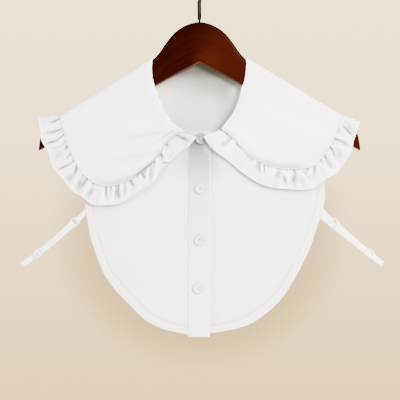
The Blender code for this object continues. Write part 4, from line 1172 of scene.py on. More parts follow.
def make_frill(name, front_rows, folds, reaches, side, shift, seed, wall, gather, depth):
    """A gathered frill: its main folds from the table, small gathers between them."""
    rows = leaf_rows(front_rows, side)
    at, along = even_rows(LEAF_COLUMNS, rows, "seam_x", "seam_drop", FRILL_GRID[0])
    seam_x, seam_drop, hem_x, hem_drop, stand = columns_at(LEAF_COLUMNS, rows, at, LEAF_COLUMNS[2:])
    along = along[:, None]
    total = along[-1, 0]
    shoulder = float(along[np.argmax(seam_drop[:, 0] < 0.0), 0])
    reach = np.hypot(hem_x - seam_x, hem_drop - seam_drop)
    share = crowded(FRILL_GRID[1], 0.3)
    # Behind the shoulder the same folds come again, mirrored and a little softer.
    stretch = (total - shoulder) / shoulder
    front = tuple((a, b, c, d, height, width * FRILL_FOLD_WIDER) for a, b, c, d, height, width in folds)
    behind = tuple(
        (total - a * stretch, b, total - c * stretch, d, 0.8 * height, width * stretch)
        for a, b, c, d, height, width in front
    )
    pressed = fold_height(along, reach * share, front + behind)
    ends = smooth_step(0.0, 14.0, along) * smooth_step(0.0, 10.0, total - along)
    strength = wave_strength(along, shift) * (0.25 + 0.75 * ends)
    turn = wave_turn(along, shift)
    lean = 0.9 * drift(along, 17.0, seed) * share ** 1.2
    tight = 2.0 * turn + 1.4 * drift(along, 11.0, seed + 1) + 0.8 * lean
    fade = 1.0 - smooth_step(0.1, 0.4 + 0.15 * drift(along, 8.0, seed + 2), share)
    gathers = gather * (0.75 + 0.45 * drift(along, 7.0, seed + 3)) * fade * crease(tight)
    waves = depth * strength * np.sin(turn + lean) * smooth_step(0.0, 0.6, share)
    lifts = (FRILL_ROOT_LIFT, FRILL_MID_LIFT, FRILL_HEM_LIFT)
    lift = np.interp(share, (0.0, FRILL_MID_SHARE, 1.0), lifts) + stand * share ** 1.3
    lift = np.maximum(lift + pressed + gathers + waves, FRILL_LEAST_LIFT)
    inner = 1.0 - smooth_step(100.0, 150.0, along)
    # Painted shade: deeper in the troughs of the folds and gathers and lighter on their ridges, with a dark
    # line along the seam, deeper towards the front, and none at the hem's edge.
    trough = FRILL_SHADE - 0.84 * pressed - 0.25 * gathers - 0.12 * waves
    trough = trough + (0.25 + 0.45 * inner) * bump(reach * share, 1.1)
    trough = trough * smooth_step(0.6, 2.6, reach * (1.0 - share))
    places, shares = zip(*reaches)
    wide = np.interp(along, places, shares)
    loose = 1.0 + 0.045 * drift(along, 13.0, seed + 5)
    wide = wide + (loose - wide) * smooth_step(shoulder + 5.0, shoulder + 30.0, along)
    gap = 0.35 / reach
    grown = (gap + share * (1.0 - gap)) * (1.0 + (wide - 1.0) * smooth_step(0.0, 0.5, share))
    x = seam_x + (hem_x - seam_x) * grown
    drop = seam_drop + (hem_drop - seam_drop) * grown
    lift = lift + front_rise(x, drop)
    from_hem = reach * wide * (1.0 - share)
    thick = 1.0 - smooth_step(1.3, 2.2, from_hem)
    run = along * GATHERING
    maps = {
        "cloth": pair(run, reach * share), "hems": pair(run, from_hem),
        "shade": pair(np.clip(trough, 0.0, 1.0), 0.0, 1.0),
    }
    return add_cloth(name, cloth_point(x, drop, lift), wall, maps, thick, 0.5)


def make_panel(name, rows, low_x, high_x, wall, grid, mirror=False):
    """One body panel: a flat hanging sheet with a turned hem round its outer edge."""
    at, _ = even_rows(PANEL_COLUMNS, rows, "outer_x", "outer_drop", grid[0])
    inner_x, inner_drop, outer_x, outer_drop = columns_at(PANEL_COLUMNS, rows, at, PANEL_COLUMNS)
    inner_x = np.clip(inner_x, low_x, high_x)
    outer_x = np.clip(outer_x, low_x, high_x)
    even = np.linspace(0.0, 1.0, grid[1] + 1)
    share = (even + 0.6 * np.sin(math.pi * even) / math.pi * even * (1.0 - even))[None, :]
    x = inner_x + (outer_x - inner_x) * share
    drop = inner_drop + (outer_drop - inner_drop) * share
    from_hem, hem_along = edge_distance(x, drop, outer_x[:, 0], outer_drop[:, 0])
    from_neck, _ = edge_distance(x, drop, inner_x[:, 0], inner_drop[:, 0])
    points = cloth_point(x, drop, np.zeros(x.shape))
    if mirror:
        points[np.abs(points[..., 0]) < 0.00001, 0] = 0.0
    thick = np.maximum(1.0 - smooth_step(7.0, 8.4, from_hem), 1.0 - smooth_step(5.0, 6.0, from_neck))
    z = points[..., 2] / MM
    dim = np.zeros(x.shape)
    if not mirror:
        rows = LEFT_FRONT_ROWS if outer_x[len(outer_x) // 2, 0] > 0.0 else RIGHT_FRONT_ROWS
        hems = [(row[4], row[5]) for row in rows]
        away, _ = edge_distance(x, drop, *(np.array(line) for line in zip(*hems)))
        # Painted shade: shadows under the frill's hem and under the collar by the placket's top, a dark
        # line along the hem's stitches and a fainter one nearer the edge, and shade beside the placket's
        # right edge; inside the hem band the cloth is a little darker.
        dim = UNDER_FRILL_SHADE * bump(away, 5.0)
        dim = np.maximum(dim, UNDER_COLLAR_SHADE * smooth_step(-275.0, -240.0, z) * bump(x, 36.0))
        dim = dim + 0.06 * smooth_step(6.5, 9.0, from_hem) + 0.30 * bump(from_hem - 8.1, 0.9)
        dim = dim + 0.07 * bump(from_hem - 2.6, 1.6)
        beside = x - PLACKET_RIGHT_X
        dim = dim + 0.12 * bump(beside - 5.0, 3.6) + 0.16 * bump(beside - 2.3, 1.0)
    maps = {"cloth": pair(x, drop), "hems": pair(hem_along, from_hem), "shade": pair(dim, 0.0, 1.0)}
    panel = add_cloth(name, points, wall, maps, thick, 0.6, mirror)
    if mirror:
        places = places_of(panel.data) / MM
        write_map(panel.data, "shade", pair(inside_shade(places[:, 0], places[:, 2]), 0.0, 1.0))
    return panel


def make_placket(name, wall):
    """The buttoned strip, folded at its edges and stitched down both sides."""
    z, x = np.meshgrid(
        np.linspace(PLACKET_TOP_Z, PLACKET_BOTTOM_Z, PLACKET_GRID[0] + 1),
        np.linspace(PLACKET_LEFT_X, PLACKET_RIGHT_X, PLACKET_GRID[1] + 1),
        indexing="ij",
    )
    drop = drop_at(x, z)
    from_side = np.minimum(x - PLACKET_LEFT_X, PLACKET_RIGHT_X - x)
    dimples = np.zeros(x.shape)
    for button_x, button_z, _ in BUTTON_ROWS:
        dimples = dimples + bump(np.hypot(x - button_x, (z - button_z) * 0.8), 9.0)
    lift = PLACKET_LIFT - 0.28 * bump(from_side, 2.6) - 0.2 * dimples
    thick = 1.0 - smooth_step(2.6, 3.6, from_side)
    # Painted shade: darker by height under the leaves and less so at the edges, lighter on the right near
    # the top where the frill's own shadow falls, darker everywhere but the folded edges, which are left
    # lighter as a painted highlight, and dark lines by the stitches.
    dim = shade_at(PLACKET_SHADE, z) * (1.0 - 0.3 * bump(from_side, 0.9))
    dim = dim * (1.0 - 0.32 * smooth_step(3.0, 10.0, x) * smooth_step(-236.0, -226.0, z))
    dim = dim + 0.15 * smooth_step(1.0, 2.4, from_side)
    dim = dim + 0.17 * bump(x - PLACKET_LEFT_X - 1.5, 0.6) + 0.08 * bump(PLACKET_RIGHT_X - x - 2.0, 0.6)
    maps = {"cloth": pair(x, z), "hems": pair(z, from_side), "shade": pair(dim, 0.0, 1.0)}
    return add_cloth(name, cloth_point(x, drop, lift), wall, maps, thick, 0.75)


def make_button(name):
    """The turned button, its dish and four holes, made once at the origin."""
    bpy.ops.object.select_all(action="DESELECT")
    last = len(BUTTON_PROFILE) - 1
    bpy.ops.mesh.primitive_circle_add(vertices=last + 1, fill_type="NOTHING", location=(0, 0, 0))
    button = named(bpy.context.object, name)
    mesh = button.data
    for point, (radius, height) in zip(mesh.vertices, BUTTON_PROFILE):
        point.co = (radius * MM, -height * MM, 0.0)
    # The circle's closing edge goes, and the open profile is spun.
    bpy.context.tool_settings.mesh_select_mode = (False, True, False)
    for point in mesh.vertices:
        point.select = False
    for edge in mesh.edges:
        edge.select = set(edge.vertices) == {0, last}
    bpy.ops.object.mode_set(mode="EDIT")
    bpy.ops.mesh.delete(type="EDGE")
    bpy.ops.mesh.select_all(action="SELECT")
    bpy.ops.mesh.spin(steps=BUTTON_AROUND, angle=2.0 * math.pi, center=(0, 0, 0), axis=(0, 1, 0))
    bpy.ops.object.mode_set(mode="OBJECT")
    close_normals(button)
    out = BUTTON_HOLE_AT * MM
    for place in ((out, -0.001, 0.0), (0.0, -0.001, out), (-out, -0.001, 0.0), (0.0, -0.001, -out)):
        bpy.ops.object.select_all(action="DESELECT")
        bpy.ops.mesh.primitive_cylinder_add(
            vertices=20, radius=BUTTON_HOLE * MM, depth=0.006, location=place,
            rotation=(math.pi / 2.0, 0, 0),
        )
        drill = bpy.context.object
        cut = button.modifiers.new("hole", "BOOLEAN")
        cut.operation = "DIFFERENCE"
        cut.solver = "EXACT"
        cut.object = drill
        apply_all(button)
        bpy.data.objects.remove(drill)
    write_map(button.data, "face", places_of(button.data)[:, (0, 2)])
    return button


def placed_copy(source, name, place, turn):
    """A copy with its own mesh, turned about Y and moved within it."""
    item = source.copy()
    item.data = source.data.copy()
    named(item, name)
    bpy.context.scene.collection.objects.link(item)
    angle = math.radians(turn)
    for point in item.data.vertices:
        x, y, z = point.co
        point.co = (
            place[0] + x * math.cos(angle) + z * math.sin(angle),
            place[1] + y,
            place[2] - x * math.sin(angle) + z * math.cos(angle),
        )
    return item


def make_threads(name):
    """The crossed stitches that hold a button."""
    at = BUTTON_HOLE_AT * MM
    strands = []
    for k, (first, second) in enumerate((((at, 0), (-at, 0)), ((0, at), (0, -at)))):
        rise = 0.0003 * k
        for shift in (-0.00017, 0.00017):
            path = []
            for step in range(13):
                t = step / 12.0
                x = first[0] + (second[0] - first[0]) * t + (shift if k else 0.0)
                z = first[1] + (second[1] - first[1]) * t + (0.0 if k else shift)
                y = -0.0005 - rise - 0.0011 * math.sin(math.pi * t) ** 0.5
                path.append((x, y, z))
            strands.append(add_tube("strand", path, THREAD * MM))
    only(strands[0])
    for strand in strands:
        strand.select_set(True)
    bpy.ops.object.join()
    strands[0].name = name
    return strands[0]


def front_place(place, y):
    """A place of the front view, at a depth."""
    return Vector((place[0], y, place[1]))


def strap_axes(strap):
    along = (front_place(strap["end"], 0.0) - front_place(strap["ring"], 0.0)).normalized()
    across = Vector((-along.z, 0.0, along.x)) * strap["side"]
    return along, across


def turn_points(centre, along, radius, steps=5):
    """A half turn from the front to the back, out along the strap."""
    points = []
    for i in range(steps + 1):
        angle = math.pi * i / steps
        back = Vector((0.0, -radius * math.cos(angle), 0.0))
        points.append(centre + along * radius * math.sin(angle) + back)
    return points


def loop_path(centre, along, across, half_run, half_rise):
    """A rectangle with rounded corners round a centre, in metres."""
    corner = 1.5
    path = []
    for sign_run, sign_rise, start in ((1, 1, 0), (-1, 1, 90), (-1, -1, 180), (1, -1, 270)):
        for step in range(6):
            angle = math.radians(start + 18.0 * step)
            run = sign_run * (half_run - corner) + corner * math.cos(angle)
            rise = sign_rise * (half_rise - corner) + corner * math.sin(angle)
            path.append((centre + along * run + across * rise) * MM)
    return path


def inside_point(x, z, side):
    """A place where a strap is sewn inside a panel's hem, on the front (1) or the back (-1)."""
    under = 0.5 + 0.6 + STRAP_WALL * 0.5
    place = cloth_point(np.array(x), np.array(side * drop_at(x, z)), np.array(-under))
    return Vector(place) / MM


def add_band(name, centres, across, width):
    """A flat elastic band along a smooth path."""
    path = smooth_path(centres, 5)
    share = np.linspace(-0.5, 0.5, 9)
    grid = np.array([[list((centre + across * width * s) * MM) for s in share] for centre in path])
    middle = grid[:, len(share) // 2, :]
    length = lengths_along(*np.diff(middle, axis=0).T)
    cloth_map = pair(length[:, None], share[None, :] * width * MM, 1.0)
    return add_cloth(name, grid, STRAP_WALL * MM, {"cloth": cloth_map}, rim=0.00022)


def make_strap(word, strap, web, plastic):
    """One side's ring, tab, strap and slider, all set along the strap's own line."""
    along, across = strap_axes(strap)
    down = Vector((0.0, 0.0, -1.0))
    ring = front_place(strap["ring"], STRAP_FRONT_Y)
    slider = front_place(strap["slider"], STRAP_FRONT_Y * 0.62)
    end = front_place(strap["end"], 0.0)
    loop = WIRE + CLEARANCE + STRAP_WALL * 0.5
    path = loop_path(ring, along, across, RING_HALF_RUN, RING_HALF_RISE)
    wire = add_tube("side_ring_" + word, path, WIRE * MM, closed=True, sides=16)
    finish_piece(wire, plastic, ("ring_" + word,))
    near = ring - along * RING_HALF_RUN
    tab = [near - along * TAB_RUN + Vector((0.0, -loop, 0.0))]
    tab.extend(turn_points(near, along, loop))
    tab.append(near - along * TAB_BACK_RUN + Vector((0.0, loop, 0.0)))
    tab.append(inside_point(*strap["start"], 1.0))
    band = add_band("side_tab_" + word, tab, across, STRAP_WIDTH * TAB_SHARE)
    finish_piece(band, web, ("tab_" + word,))
    turn = turn_points(ring + along * RING_HALF_RUN, -along, loop)
    lower = slider + along * 3.0 + Vector((0.0, 2.0 * loop, 0.0)) + down * 0.4
    path = [lower, (lower + turn[-1]) * 0.5 + down * 0.8]
    path.extend(reversed(turn))
    for share in (0.25, 0.5, 0.75):
        middle = turn[0] + (slider - turn[0]) * share
        path.append(middle + down * STRAP_SAG * share * (1.0 - share))
    path.append(slider)
    path.append(slider + (end - slider) * 0.5 + down * 0.3)
    path.extend(turn_points(end - along * STRAP_TURN, along, STRAP_TURN))
    back_end = inside_point(strap["side"] * STRAP_BACK_X, strap["back"], -1.0)
    base = path[-1]
    for share in (0.25, 0.5, 0.75, 1.0):
        sag = down * STRAP_BACK_SAG * share * (1.0 - share)
        path.append(base + (back_end - base) * share + sag)
    band = add_band("side_strap_" + word, path, across, STRAP_WIDTH)
    finish_piece(band, web, ("strap_" + word,))
    lean = (slider - turn[0]).normalized()
    face = slider + Vector((0.0, -(STRAP_WALL * 0.5 + CLEARANCE + SLIDER_WIRE), 0.0))
    path = loop_path(face, lean, across, SLIDER_HALF_RUN, SLIDER_HALF_RISE)
    wire = add_tube("side_slider_" + word, path, SLIDER_WIRE * MM, closed=True, sides=16)
    bar = [(face + across * SLIDER_HALF_RISE * s) * MM for s in (-1.0, -0.5, 0.0, 0.5, 1.0)]
    middle = add_tube("bar", bar, WIRE * MM, sides=16)
    only(wire)
    middle.select_set(True)
    bpy.ops.object.join()
    finish_piece(wire, plastic, ("slider_" + word,))


def board_ring(x, top, bottom, half_depth, angles):
    """A rounded section with flat faces, at one place of the board."""
    half = (top - bottom) / 2.0
    middle = (top + bottom) / 2.0
    cosine = np.cos(angles)
    sine = np.sin(angles)
    y = half_depth * np.sign(cosine) * np.abs(cosine) ** BOARD_SQUARENESS
    z = half * np.sign(sine) * np.abs(sine) ** (BOARD_SQUARENESS * 1.25)
    return np.stack([np.full(len(angles), x), y, middle + z], axis=-1)


def make_board(name):
    """The board: a long cylinder cut into rings, each ring pulled to its section."""
    bpy.context.tool_settings.mesh_select_mode = (False, True, False)
    bpy.ops.object.select_all(action="DESELECT")
    bpy.ops.mesh.primitive_cylinder_add(
        vertices=BOARD_AROUND, radius=0.5, depth=1.0, end_fill_type="TRIFAN", location=(0, 0, 0),
    )
    board = named(bpy.context.object, name)
    mesh = board.data
    for edge in mesh.edges:
        a, b = (mesh.vertices[v].co for v in edge.vertices)
        edge.select = abs(a.z - b.z) > 0.5
    for point in mesh.vertices:
        point.select = False
    for face in mesh.polygons:
        face.select = False
    bpy.ops.object.mode_set(mode="EDIT")
    bpy.ops.mesh.subdivide(number_cuts=BOARD_CUTS)
    bpy.ops.object.mode_set(mode="OBJECT")
    flat = places_of(mesh)
    ring = np.rint((flat[:, 2] + 0.5) * (BOARD_CUTS + 1)).astype(int)
    angle = np.arctan2(flat[:, 1], flat[:, 0])
    centre = np.hypot(flat[:, 0], flat[:, 1]) < 0.01
    last = len(HANGER_ROWS) - 1
    # Rings are spaced evenly by row number, so they crowd where the rows do.
    at = np.linspace(-last, last, BOARD_CUTS + 2)
    x, top, bottom, half_depth = (
        curve_at(HANGER_COLUMNS, HANGER_ROWS, column, np.abs(at)) for column in HANGER_COLUMNS
    )
    x = x * np.sign(at)
    along = lengths_along(np.diff(x), np.diff(top))
    points = np.empty_like(flat)
    grain = np.empty((len(flat), 2))
    for k in range(BOARD_CUTS + 2):
        picked = np.nonzero(ring == k)[0]
        places = board_ring(x[k], top[k], bottom[k], half_depth[k], angle[picked])
        middle = (top[k] + bottom[k]) / 2.0
        inside = centre[picked]
        places[inside, 1] = 0.0
        places[inside, 2] = middle
        points[picked] = places * MM
        grain[picked, 0] = along[k] * MM
        grain[picked, 1] = (places[:, 2] - middle) * MM + (places[:, 1] > 0.0) * BACK_GRAIN
    reshape(mesh, points, {"grain": grain})
    close_normals(board)
    return board


def hook_path():
    """The wire's places in metres, with its size at each as a share of its own."""
    path = [((x, 0.0, z), share) for x, z, share in HOOK_SHANK_ROWS]
    shank_x, shank_z, _ = HOOK_SHANK_ROWS[-1]
    centre_z = -HOOK_RADIUS + HOOK_WIRE
    start = math.radians(HOOK_START_DEG)
    joins = (HOOK_RADIUS * math.cos(start), centre_z + HOOK_RADIUS * math.sin(start))
    for step in range(1, 10):
        share = step / 10.0
        bend_x = joins[0] * share * share + shank_x * (1.0 - share)
        bend_z = shank_z + (joins[1] - shank_z) * (1.0 - (1.0 - share) ** 1.25)
        path.append(((bend_x, 0.0, bend_z), HOOK_SLEEVE if step < 3 else 1.0))
    for i in range(73):
        angle = math.radians(HOOK_START_DEG + (HOOK_END_DEG - HOOK_START_DEG) * i / 72)
        path.append(((HOOK_RADIUS * math.cos(angle), 0.0, centre_z + HOOK_RADIUS * math.sin(angle)), 1.0))
    tip = path[-1][0]
    angle = math.radians(HOOK_END_DEG)
    for reach, size in HOOK_TIP_ROWS:
        path.append(((tip[0] - reach * math.sin(angle), 0.0, tip[2] + reach * math.cos(angle)), size))
    return [[c * MM for c in p] for p, s in path], [s for p, s in path]


# Settings

def length(label, text, default, low=0.0):
    return bpy.props.FloatProperty(
        name=label, description=text, default=default, min=low, unit="LENGTH", precision=5,
    )


def number(label, text, default, low=0.0, high=10000.0):
    return bpy.props.FloatProperty(name=label, description=text, default=default, min=low, max=high)


def colour(label, text, default):
    return bpy.props.FloatVectorProperty(
        name=label, description=text, default=default, subtype="COLOR", size=3, min=0.0, max=1.0,
    )


def light(label, text, default):
    return bpy.props.FloatVectorProperty(name=label, description=text, default=default, size=3, min=0.0)


class ClothSettings(bpy.types.PropertyGroup):
    collar_colour: colour("Collar", "Cotton of the two collar leaves", (0.86, 0.86, 0.86))
    ruffle_colour: colour("Ruffle", "Cotton of the frill", (0.86, 0.86, 0.855))
    bib_colour: colour("Body", "Cotton of the front and back body panels", (0.79, 0.75, 0.675))
    placket_colour: colour("Placket", "Cotton of the buttoned strip", (0.86, 0.85, 0.81))
    thread_colour: colour("Thread", "Sewing thread of the buttons", (0.78, 0.78, 0.77))
    collar_wall: length("Collar Wall", "Thickness of the doubled collar leaf", 0.0009)
    ruffle_wall: length("Ruffle Hem", "Thickness of the frill at its rolled hem", 0.0009)
    bib_wall: length("Body Hem", "Thickness of the body panels at their turned hem", 0.0009)
    placket_wall: length("Placket Edge", "Thickness of the placket at its folded edges", 0.0011)
    gather_depth: number("Gather Depth", "Millimetres that the frill's tight gathers rise", 0.45, 0.0, 2.0)
    wave_depth: number("Wave Depth", "Millimetres that the frill's small waves rise", 0.45, 0.0, 2.0)
    pucker: number("Seam Pucker", "Millimetres that the collar puckers at the frill's seam", 0.22, 0.0, 1.0)
    threads: number("Threads", "Threads of the weave in a metre of cloth", 2300.0, 500.0, 6000.0)


class HangerSettings(bpy.types.PropertyGroup):
    wood_dark: colour("Dark Wood", "Dark streaks of the mahogany", (0.0062, 0.0006, 0.00015))
    wood_light: colour("Light Wood", "Light streaks of the mahogany", (0.0120, 0.0014, 0.0004))
    hook_colour: colour("Hook", "Dark lacquered wire of the hook", (0.0035, 0.0030, 0.0026))
    plastic_colour: colour("Plastic", "Buttons, rings and sliders", (0.76, 0.76, 0.755))
    web_colour: colour("Elastic", "Elastic of the side straps", (0.86, 0.855, 0.845))


class StudioSettings(bpy.types.PropertyGroup):
    floor_colour: colour("Floor", "Pale floor below the hanging collar", (0.80, 0.755, 0.68))
    wall_top: light("Backdrop Top", "Light behind everything, high in the view", (4.0, 2.95, 1.58))
    wall_bottom: light("Backdrop Bottom", "Light behind everything, low in the view", (2.5, 1.66, 0.71))
    floor_height: length("Floor Height", "Height of the floor", -0.75, -10.0)
    key_power: number("Key Light", "Power of the big soft light", 176.0)
    fill_power: number("Fill Light", "Power of the light on the other side", 32.0)
    back_power: number("Back Light", "Power of the light behind", 150.0)
    sky_strength: number("Sky", "Strength of the even light from all round", 1.2)
    gloss_strength: number("Room Gloss", "Brightness of the room that varnish and metal mirror", 0.3)
    camera_distance: length("Camera Distance", "From the front of the cloth to the camera", 2.0)
    view_width: length("View Width", "Width that the photograph's frame covers at the cloth", 0.4968)


# Operators

class COLLAR_OT_finishes(bpy.types.Operator):
    """Make the cloth, wood, metal, plastic, thread and floor finishes"""
    bl_idname = "frilled_collar.finishes"
    bl_label = "Finishes"

    def execute(self, context):
        cloth = context.scene.cloth_settings
        board = context.scene.hanger_settings
        plain_weave_group()
        stitch_row_group()
        soft_tone_group()
        edge_wear_group()
        for name, shade, stitches_at, spacing, crinkle, shading, outside in (
            ("collar cotton", cloth.collar_colour, 0.0015, 0.0024, 0.0006, 0.9, False),
            ("ruffle cotton", cloth.ruffle_colour, 0.0016, 0.0022, 0.0005, 0.9, False),
            ("body cotton", cloth.bib_colour, 0.0074, 0.0026, 0.0006, 1.0, True),
            ("placket cotton", cloth.placket_colour, 0.0022, 0.0026, 0.0004, 1.0, True),
        ):
            cloth_material(name, shade, cloth.threads, stitches_at, spacing, crinkle, shading, outside)
        thread_material("sewing thread", cloth.thread_colour)
        plastic_material("moulded white plastic", board.plastic_colour)
        plastic_material("button plastic", np.multiply(board.plastic_colour, 0.95), True)
        # The top button lies in the frills' shade.
        plastic_material("shaded button plastic", np.multiply(board.plastic_colour, 0.25), True)
        web_material("white elastic", board.web_colour)
        wood_material("varnished mahogany", board.wood_dark, board.wood_light)
        metal_material("dark plated wire", board.hook_colour)
        floor_material("pale floor", context.scene.studio_settings.floor_colour)
        return {"FINISHED"}


class COLLAR_OT_board(bpy.types.Operator):
    """Make the hanger's shaped wooden board"""
    bl_idname = "frilled_collar.board"
    bl_label = "Hanger Board"

    def execute(self, context):
        board = make_board("hanger_board")
        finish_piece(board, material_named("varnished mahogany"), ("hanger",))
        return {"FINISHED"}


class COLLAR_OT_hook(bpy.types.Operator):
    """Make the hanger's wire hook"""
    bl_idname = "frilled_collar.hook"
    bl_label = "Hook"

    def execute(self, context):
        path, sizes = hook_path()
        hook = add_tube("wire_hook", path, HOOK_WIRE * MM, sizes, sides=24)
        finish_piece(hook, material_named("dark plated wire"), ("hook",))
        return {"FINISHED"}


class COLLAR_OT_body(bpy.types.Operator):
    """Make the two front body panels and the back one"""
    bl_idname = "frilled_collar.body"
    bl_label = "Body Panels"

    def execute(self, context):
        cloth = context.scene.cloth_settings
        cotton = material_named("body cotton")
        wall = cloth.bib_wall
        right = make_panel(
            "bib_front_right", FRONT_RIGHT_ROWS, -PANEL_WIDEST, PANEL_EDGE_RIGHT, wall, FRONT_RIGHT_GRID,
        )
        finish_piece(right, cotton, ("front_right",))
        left = make_panel(
            "bib_front_left", FRONT_LEFT_ROWS, PANEL_EDGE_LEFT, PANEL_WIDEST, wall, FRONT_LEFT_GRID,
        )
        finish_piece(left, cotton, ("front_left",))
        back = make_panel("bib_back", BACK_PANEL_ROWS, 0.0, PANEL_WIDEST, wall, BACK_GRID, True)
        finish_piece(back, cotton, ("back_panel",))
        return {"FINISHED"}


class COLLAR_OT_placket(bpy.types.Operator):
    """Make the buttoned strip down the centre front"""
    bl_idname = "frilled_collar.placket"
    bl_label = "Placket"

    def execute(self, context):
        strip = make_placket("button_placket", context.scene.cloth_settings.placket_wall)
        finish_piece(strip, material_named("placket cotton"), ("placket",))
        return {"FINISHED"}


class COLLAR_OT_leaves(bpy.types.Operator):
    """Make the two flat collar leaves"""
    bl_idname = "frilled_collar.leaves"
    bl_label = "Collar Leaves"

    def execute(self, context):
        cloth = context.scene.cloth_settings
        cotton = material_named("collar cotton")
        right = make_leaf("collar_leaf_right", RIGHT_FRONT_ROWS, -1, 0.4, cloth.collar_wall, cloth.pucker)
        finish_piece(right, cotton, ("collar_right",))
        left = make_leaf("collar_leaf_left", LEFT_FRONT_ROWS, 1, 1.9, cloth.collar_wall, cloth.pucker)
        finish_piece(left, cotton, ("collar_left",))
        return {"FINISHED"}


class COLLAR_OT_ruffles(bpy.types.Operator):
    """Make the gathered frill round each collar leaf"""
    bl_idname = "frilled_collar.ruffles"
    bl_label = "Ruffles"

    def execute(self, context):
        cloth = context.scene.cloth_settings
        cotton = material_named("ruffle cotton")
        sizes = (cloth.ruffle_wall, cloth.gather_depth, cloth.wave_depth)
        right = make_frill(
            "frill_right", RIGHT_FRONT_ROWS, RIGHT_FRILL_FOLDS, RIGHT_FRILL_REACH, -1, 0.4, 11, *sizes,
        )
        finish_piece(right, cotton, ("ruffle_right",))
        left = make_frill(
            "frill_left", LEFT_FRONT_ROWS, LEFT_FRILL_FOLDS, LEFT_FRILL_REACH, 1, 1.9, 37, *sizes,
        )
        finish_piece(left, cotton, ("ruffle_left",))
        return {"FINISHED"}


class COLLAR_OT_buttons(bpy.types.Operator):
    """Make the four buttons with their thread"""
    bl_idname = "frilled_collar.buttons"
    bl_label = "Buttons"

    def execute(self, context):
        plastic = material_named("button plastic")
        shaded = material_named("shaded button plastic")
        thread = material_named("sewing thread")
        button = make_button("button pattern")
        threads = make_threads("thread pattern")
        for number, (x, z, turn) in enumerate(BUTTON_ROWS, 1):
            place = cloth_point(x, drop_at(x, z), BUTTON_LIFT)
            copy = placed_copy(button, "sewn_button_%d" % number, place, turn)
            made_of = shaded if number == 1 else plastic
            finish_piece(copy, made_of, ("button_%d" % number,))
            copy.data.set_sharp_from_angle(angle=math.radians(40.0))
            stitches = placed_copy(threads, "button_thread_%d" % number, place, turn)
            finish_piece(stitches, thread)
        bpy.data.objects.remove(button)
        bpy.data.objects.remove(threads)
        return {"FINISHED"}


class COLLAR_OT_straps(bpy.types.Operator):
    """Make both elastic side straps with their tabs, rings and sliders"""
    bl_idname = "frilled_collar.straps"
    bl_label = "Side Straps"

    def execute(self, context):
        web = material_named("white elastic")
        plastic = material_named("moulded white plastic")
        make_strap("right", RIGHT_STRAP, web, plastic)
        make_strap("left", LEFT_STRAP, web, plastic)
        return {"FINISHED"}


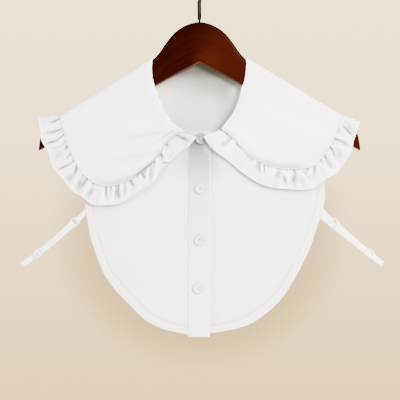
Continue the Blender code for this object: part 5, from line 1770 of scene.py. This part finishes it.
class COLLAR_OT_studio(bpy.types.Operator):
    """Make the floor, the soft lights and the camera"""
    bl_idname = "frilled_collar.studio"
    bl_label = "Studio"

    def execute(self, context):
        studio = context.scene.studio_settings
        bpy.ops.object.select_all(action="DESELECT")
        bpy.ops.mesh.primitive_circle_add(
            vertices=128, radius=1.0, fill_type="NGON", location=(0.0, 0.0, studio.floor_height),
        )
        floor = named(context.object, "studio_floor")
        floor.data.materials.append(material_named("pale floor"))
        for name, place, size, power in (
            ("key light", (0.9, -1.25, 0.4), 0.8, studio.key_power),
            ("fill light", (-0.9, -1.4, -0.8), 0.9, studio.fill_power),
            ("back light", (0.9, 1.6, 0.8), 1.2, studio.back_power),
        ):
            bpy.ops.object.light_add(type="AREA", location=place)
            lamp = named(context.object, name)
            lamp.data.shape = "DISK"
            lamp.data.size = size
            lamp.data.energy = power
            aim = Vector((0.0, 0.0, -0.27)) - Vector(place)
            lamp.rotation_euler = aim.to_track_quat("-Z", "Y").to_euler()
        world = bpy.data.worlds.new("plain studio")
        context.scene.world = world
        world.use_nodes = True
        w = Wiring(world.node_tree)
        background = world.node_tree.nodes["Background"]
        ray = w.node("ShaderNodeLightPath").outputs
        x, _, z = w.split(w.place("Generated"))
        wall = w.mix(w.ramp(z, -0.13, 0.13), tint(studio.wall_bottom), tint(studio.wall_top))
        # A painted shadow darkens the wall round the collar, as if it hung close to it.
        across = w.over(x, 0.070)
        up = w.over(w.plus(z, 0.020), 0.064)
        away = w.plus(w.times(across, across), w.times(up, up))
        dim = tint(studio.wall_bottom, WALL_SHADE)
        wall = w.mix(w.ramp(away, 0.9, 1.9, 0.6, 0.0), wall, dim)
        even, gloss = tint([studio.sky_strength] * 3), tint([studio.gloss_strength] * 3)
        sky = w.mix(ray["Is Glossy Ray"], even, gloss)
        w.feed(background.inputs["Color"], w.mix(ray["Is Camera Ray"], sky, wall))
        background.inputs["Strength"].default_value = 1.0
        bpy.ops.object.camera_add(
            location=(0.0006, -0.008 - studio.camera_distance, -0.2905), rotation=(math.pi / 2.0, 0.0, 0.0),
        )
        camera = named(context.object, "camera")
        camera.data.sensor_width = 36.0
        camera.data.lens = 36.0 * studio.camera_distance / studio.view_width
        camera.data.clip_end = 50.0
        context.scene.camera = camera
        return {"FINISHED"}


STEPS = (
    COLLAR_OT_finishes, COLLAR_OT_board, COLLAR_OT_hook, COLLAR_OT_body, COLLAR_OT_placket,
    COLLAR_OT_leaves, COLLAR_OT_ruffles, COLLAR_OT_buttons, COLLAR_OT_straps, COLLAR_OT_studio,
)


class COLLAR_PT_panel(bpy.types.Panel):
    """Lists the steps and their settings"""
    bl_label = "Frilled Collar"
    bl_space_type = "VIEW_3D"
    bl_region_type = "UI"
    bl_category = "Collar"

    def draw(self, context):
        layout = self.layout
        scene = context.scene
        for settings in (scene.cloth_settings, scene.hanger_settings, scene.studio_settings):
            box = layout.box()
            for key in settings.__annotations__:
                box.prop(settings, key)
        for step in STEPS:
            layout.operator(step.bl_idname)


CLASSES = (ClothSettings, HangerSettings, StudioSettings, *STEPS, COLLAR_PT_panel)


def register():
    for item in CLASSES:
        bpy.utils.register_class(item)
    bpy.types.Scene.cloth_settings = bpy.props.PointerProperty(type=ClothSettings)
    bpy.types.Scene.hanger_settings = bpy.props.PointerProperty(type=HangerSettings)
    bpy.types.Scene.studio_settings = bpy.props.PointerProperty(type=StudioSettings)


def unregister():
    del bpy.types.Scene.studio_settings
    del bpy.types.Scene.hanger_settings
    del bpy.types.Scene.cloth_settings
    for item in reversed(CLASSES):
        bpy.utils.unregister_class(item)


def main():
    register()
    collar = bpy.ops.frilled_collar
    collar.finishes()
    collar.board()
    collar.hook()
    collar.body()
    collar.placket()
    collar.leaves()
    collar.ruffles()
    collar.buttons()
    collar.straps()
    collar.studio()


if __name__ == "__main__":
    main()
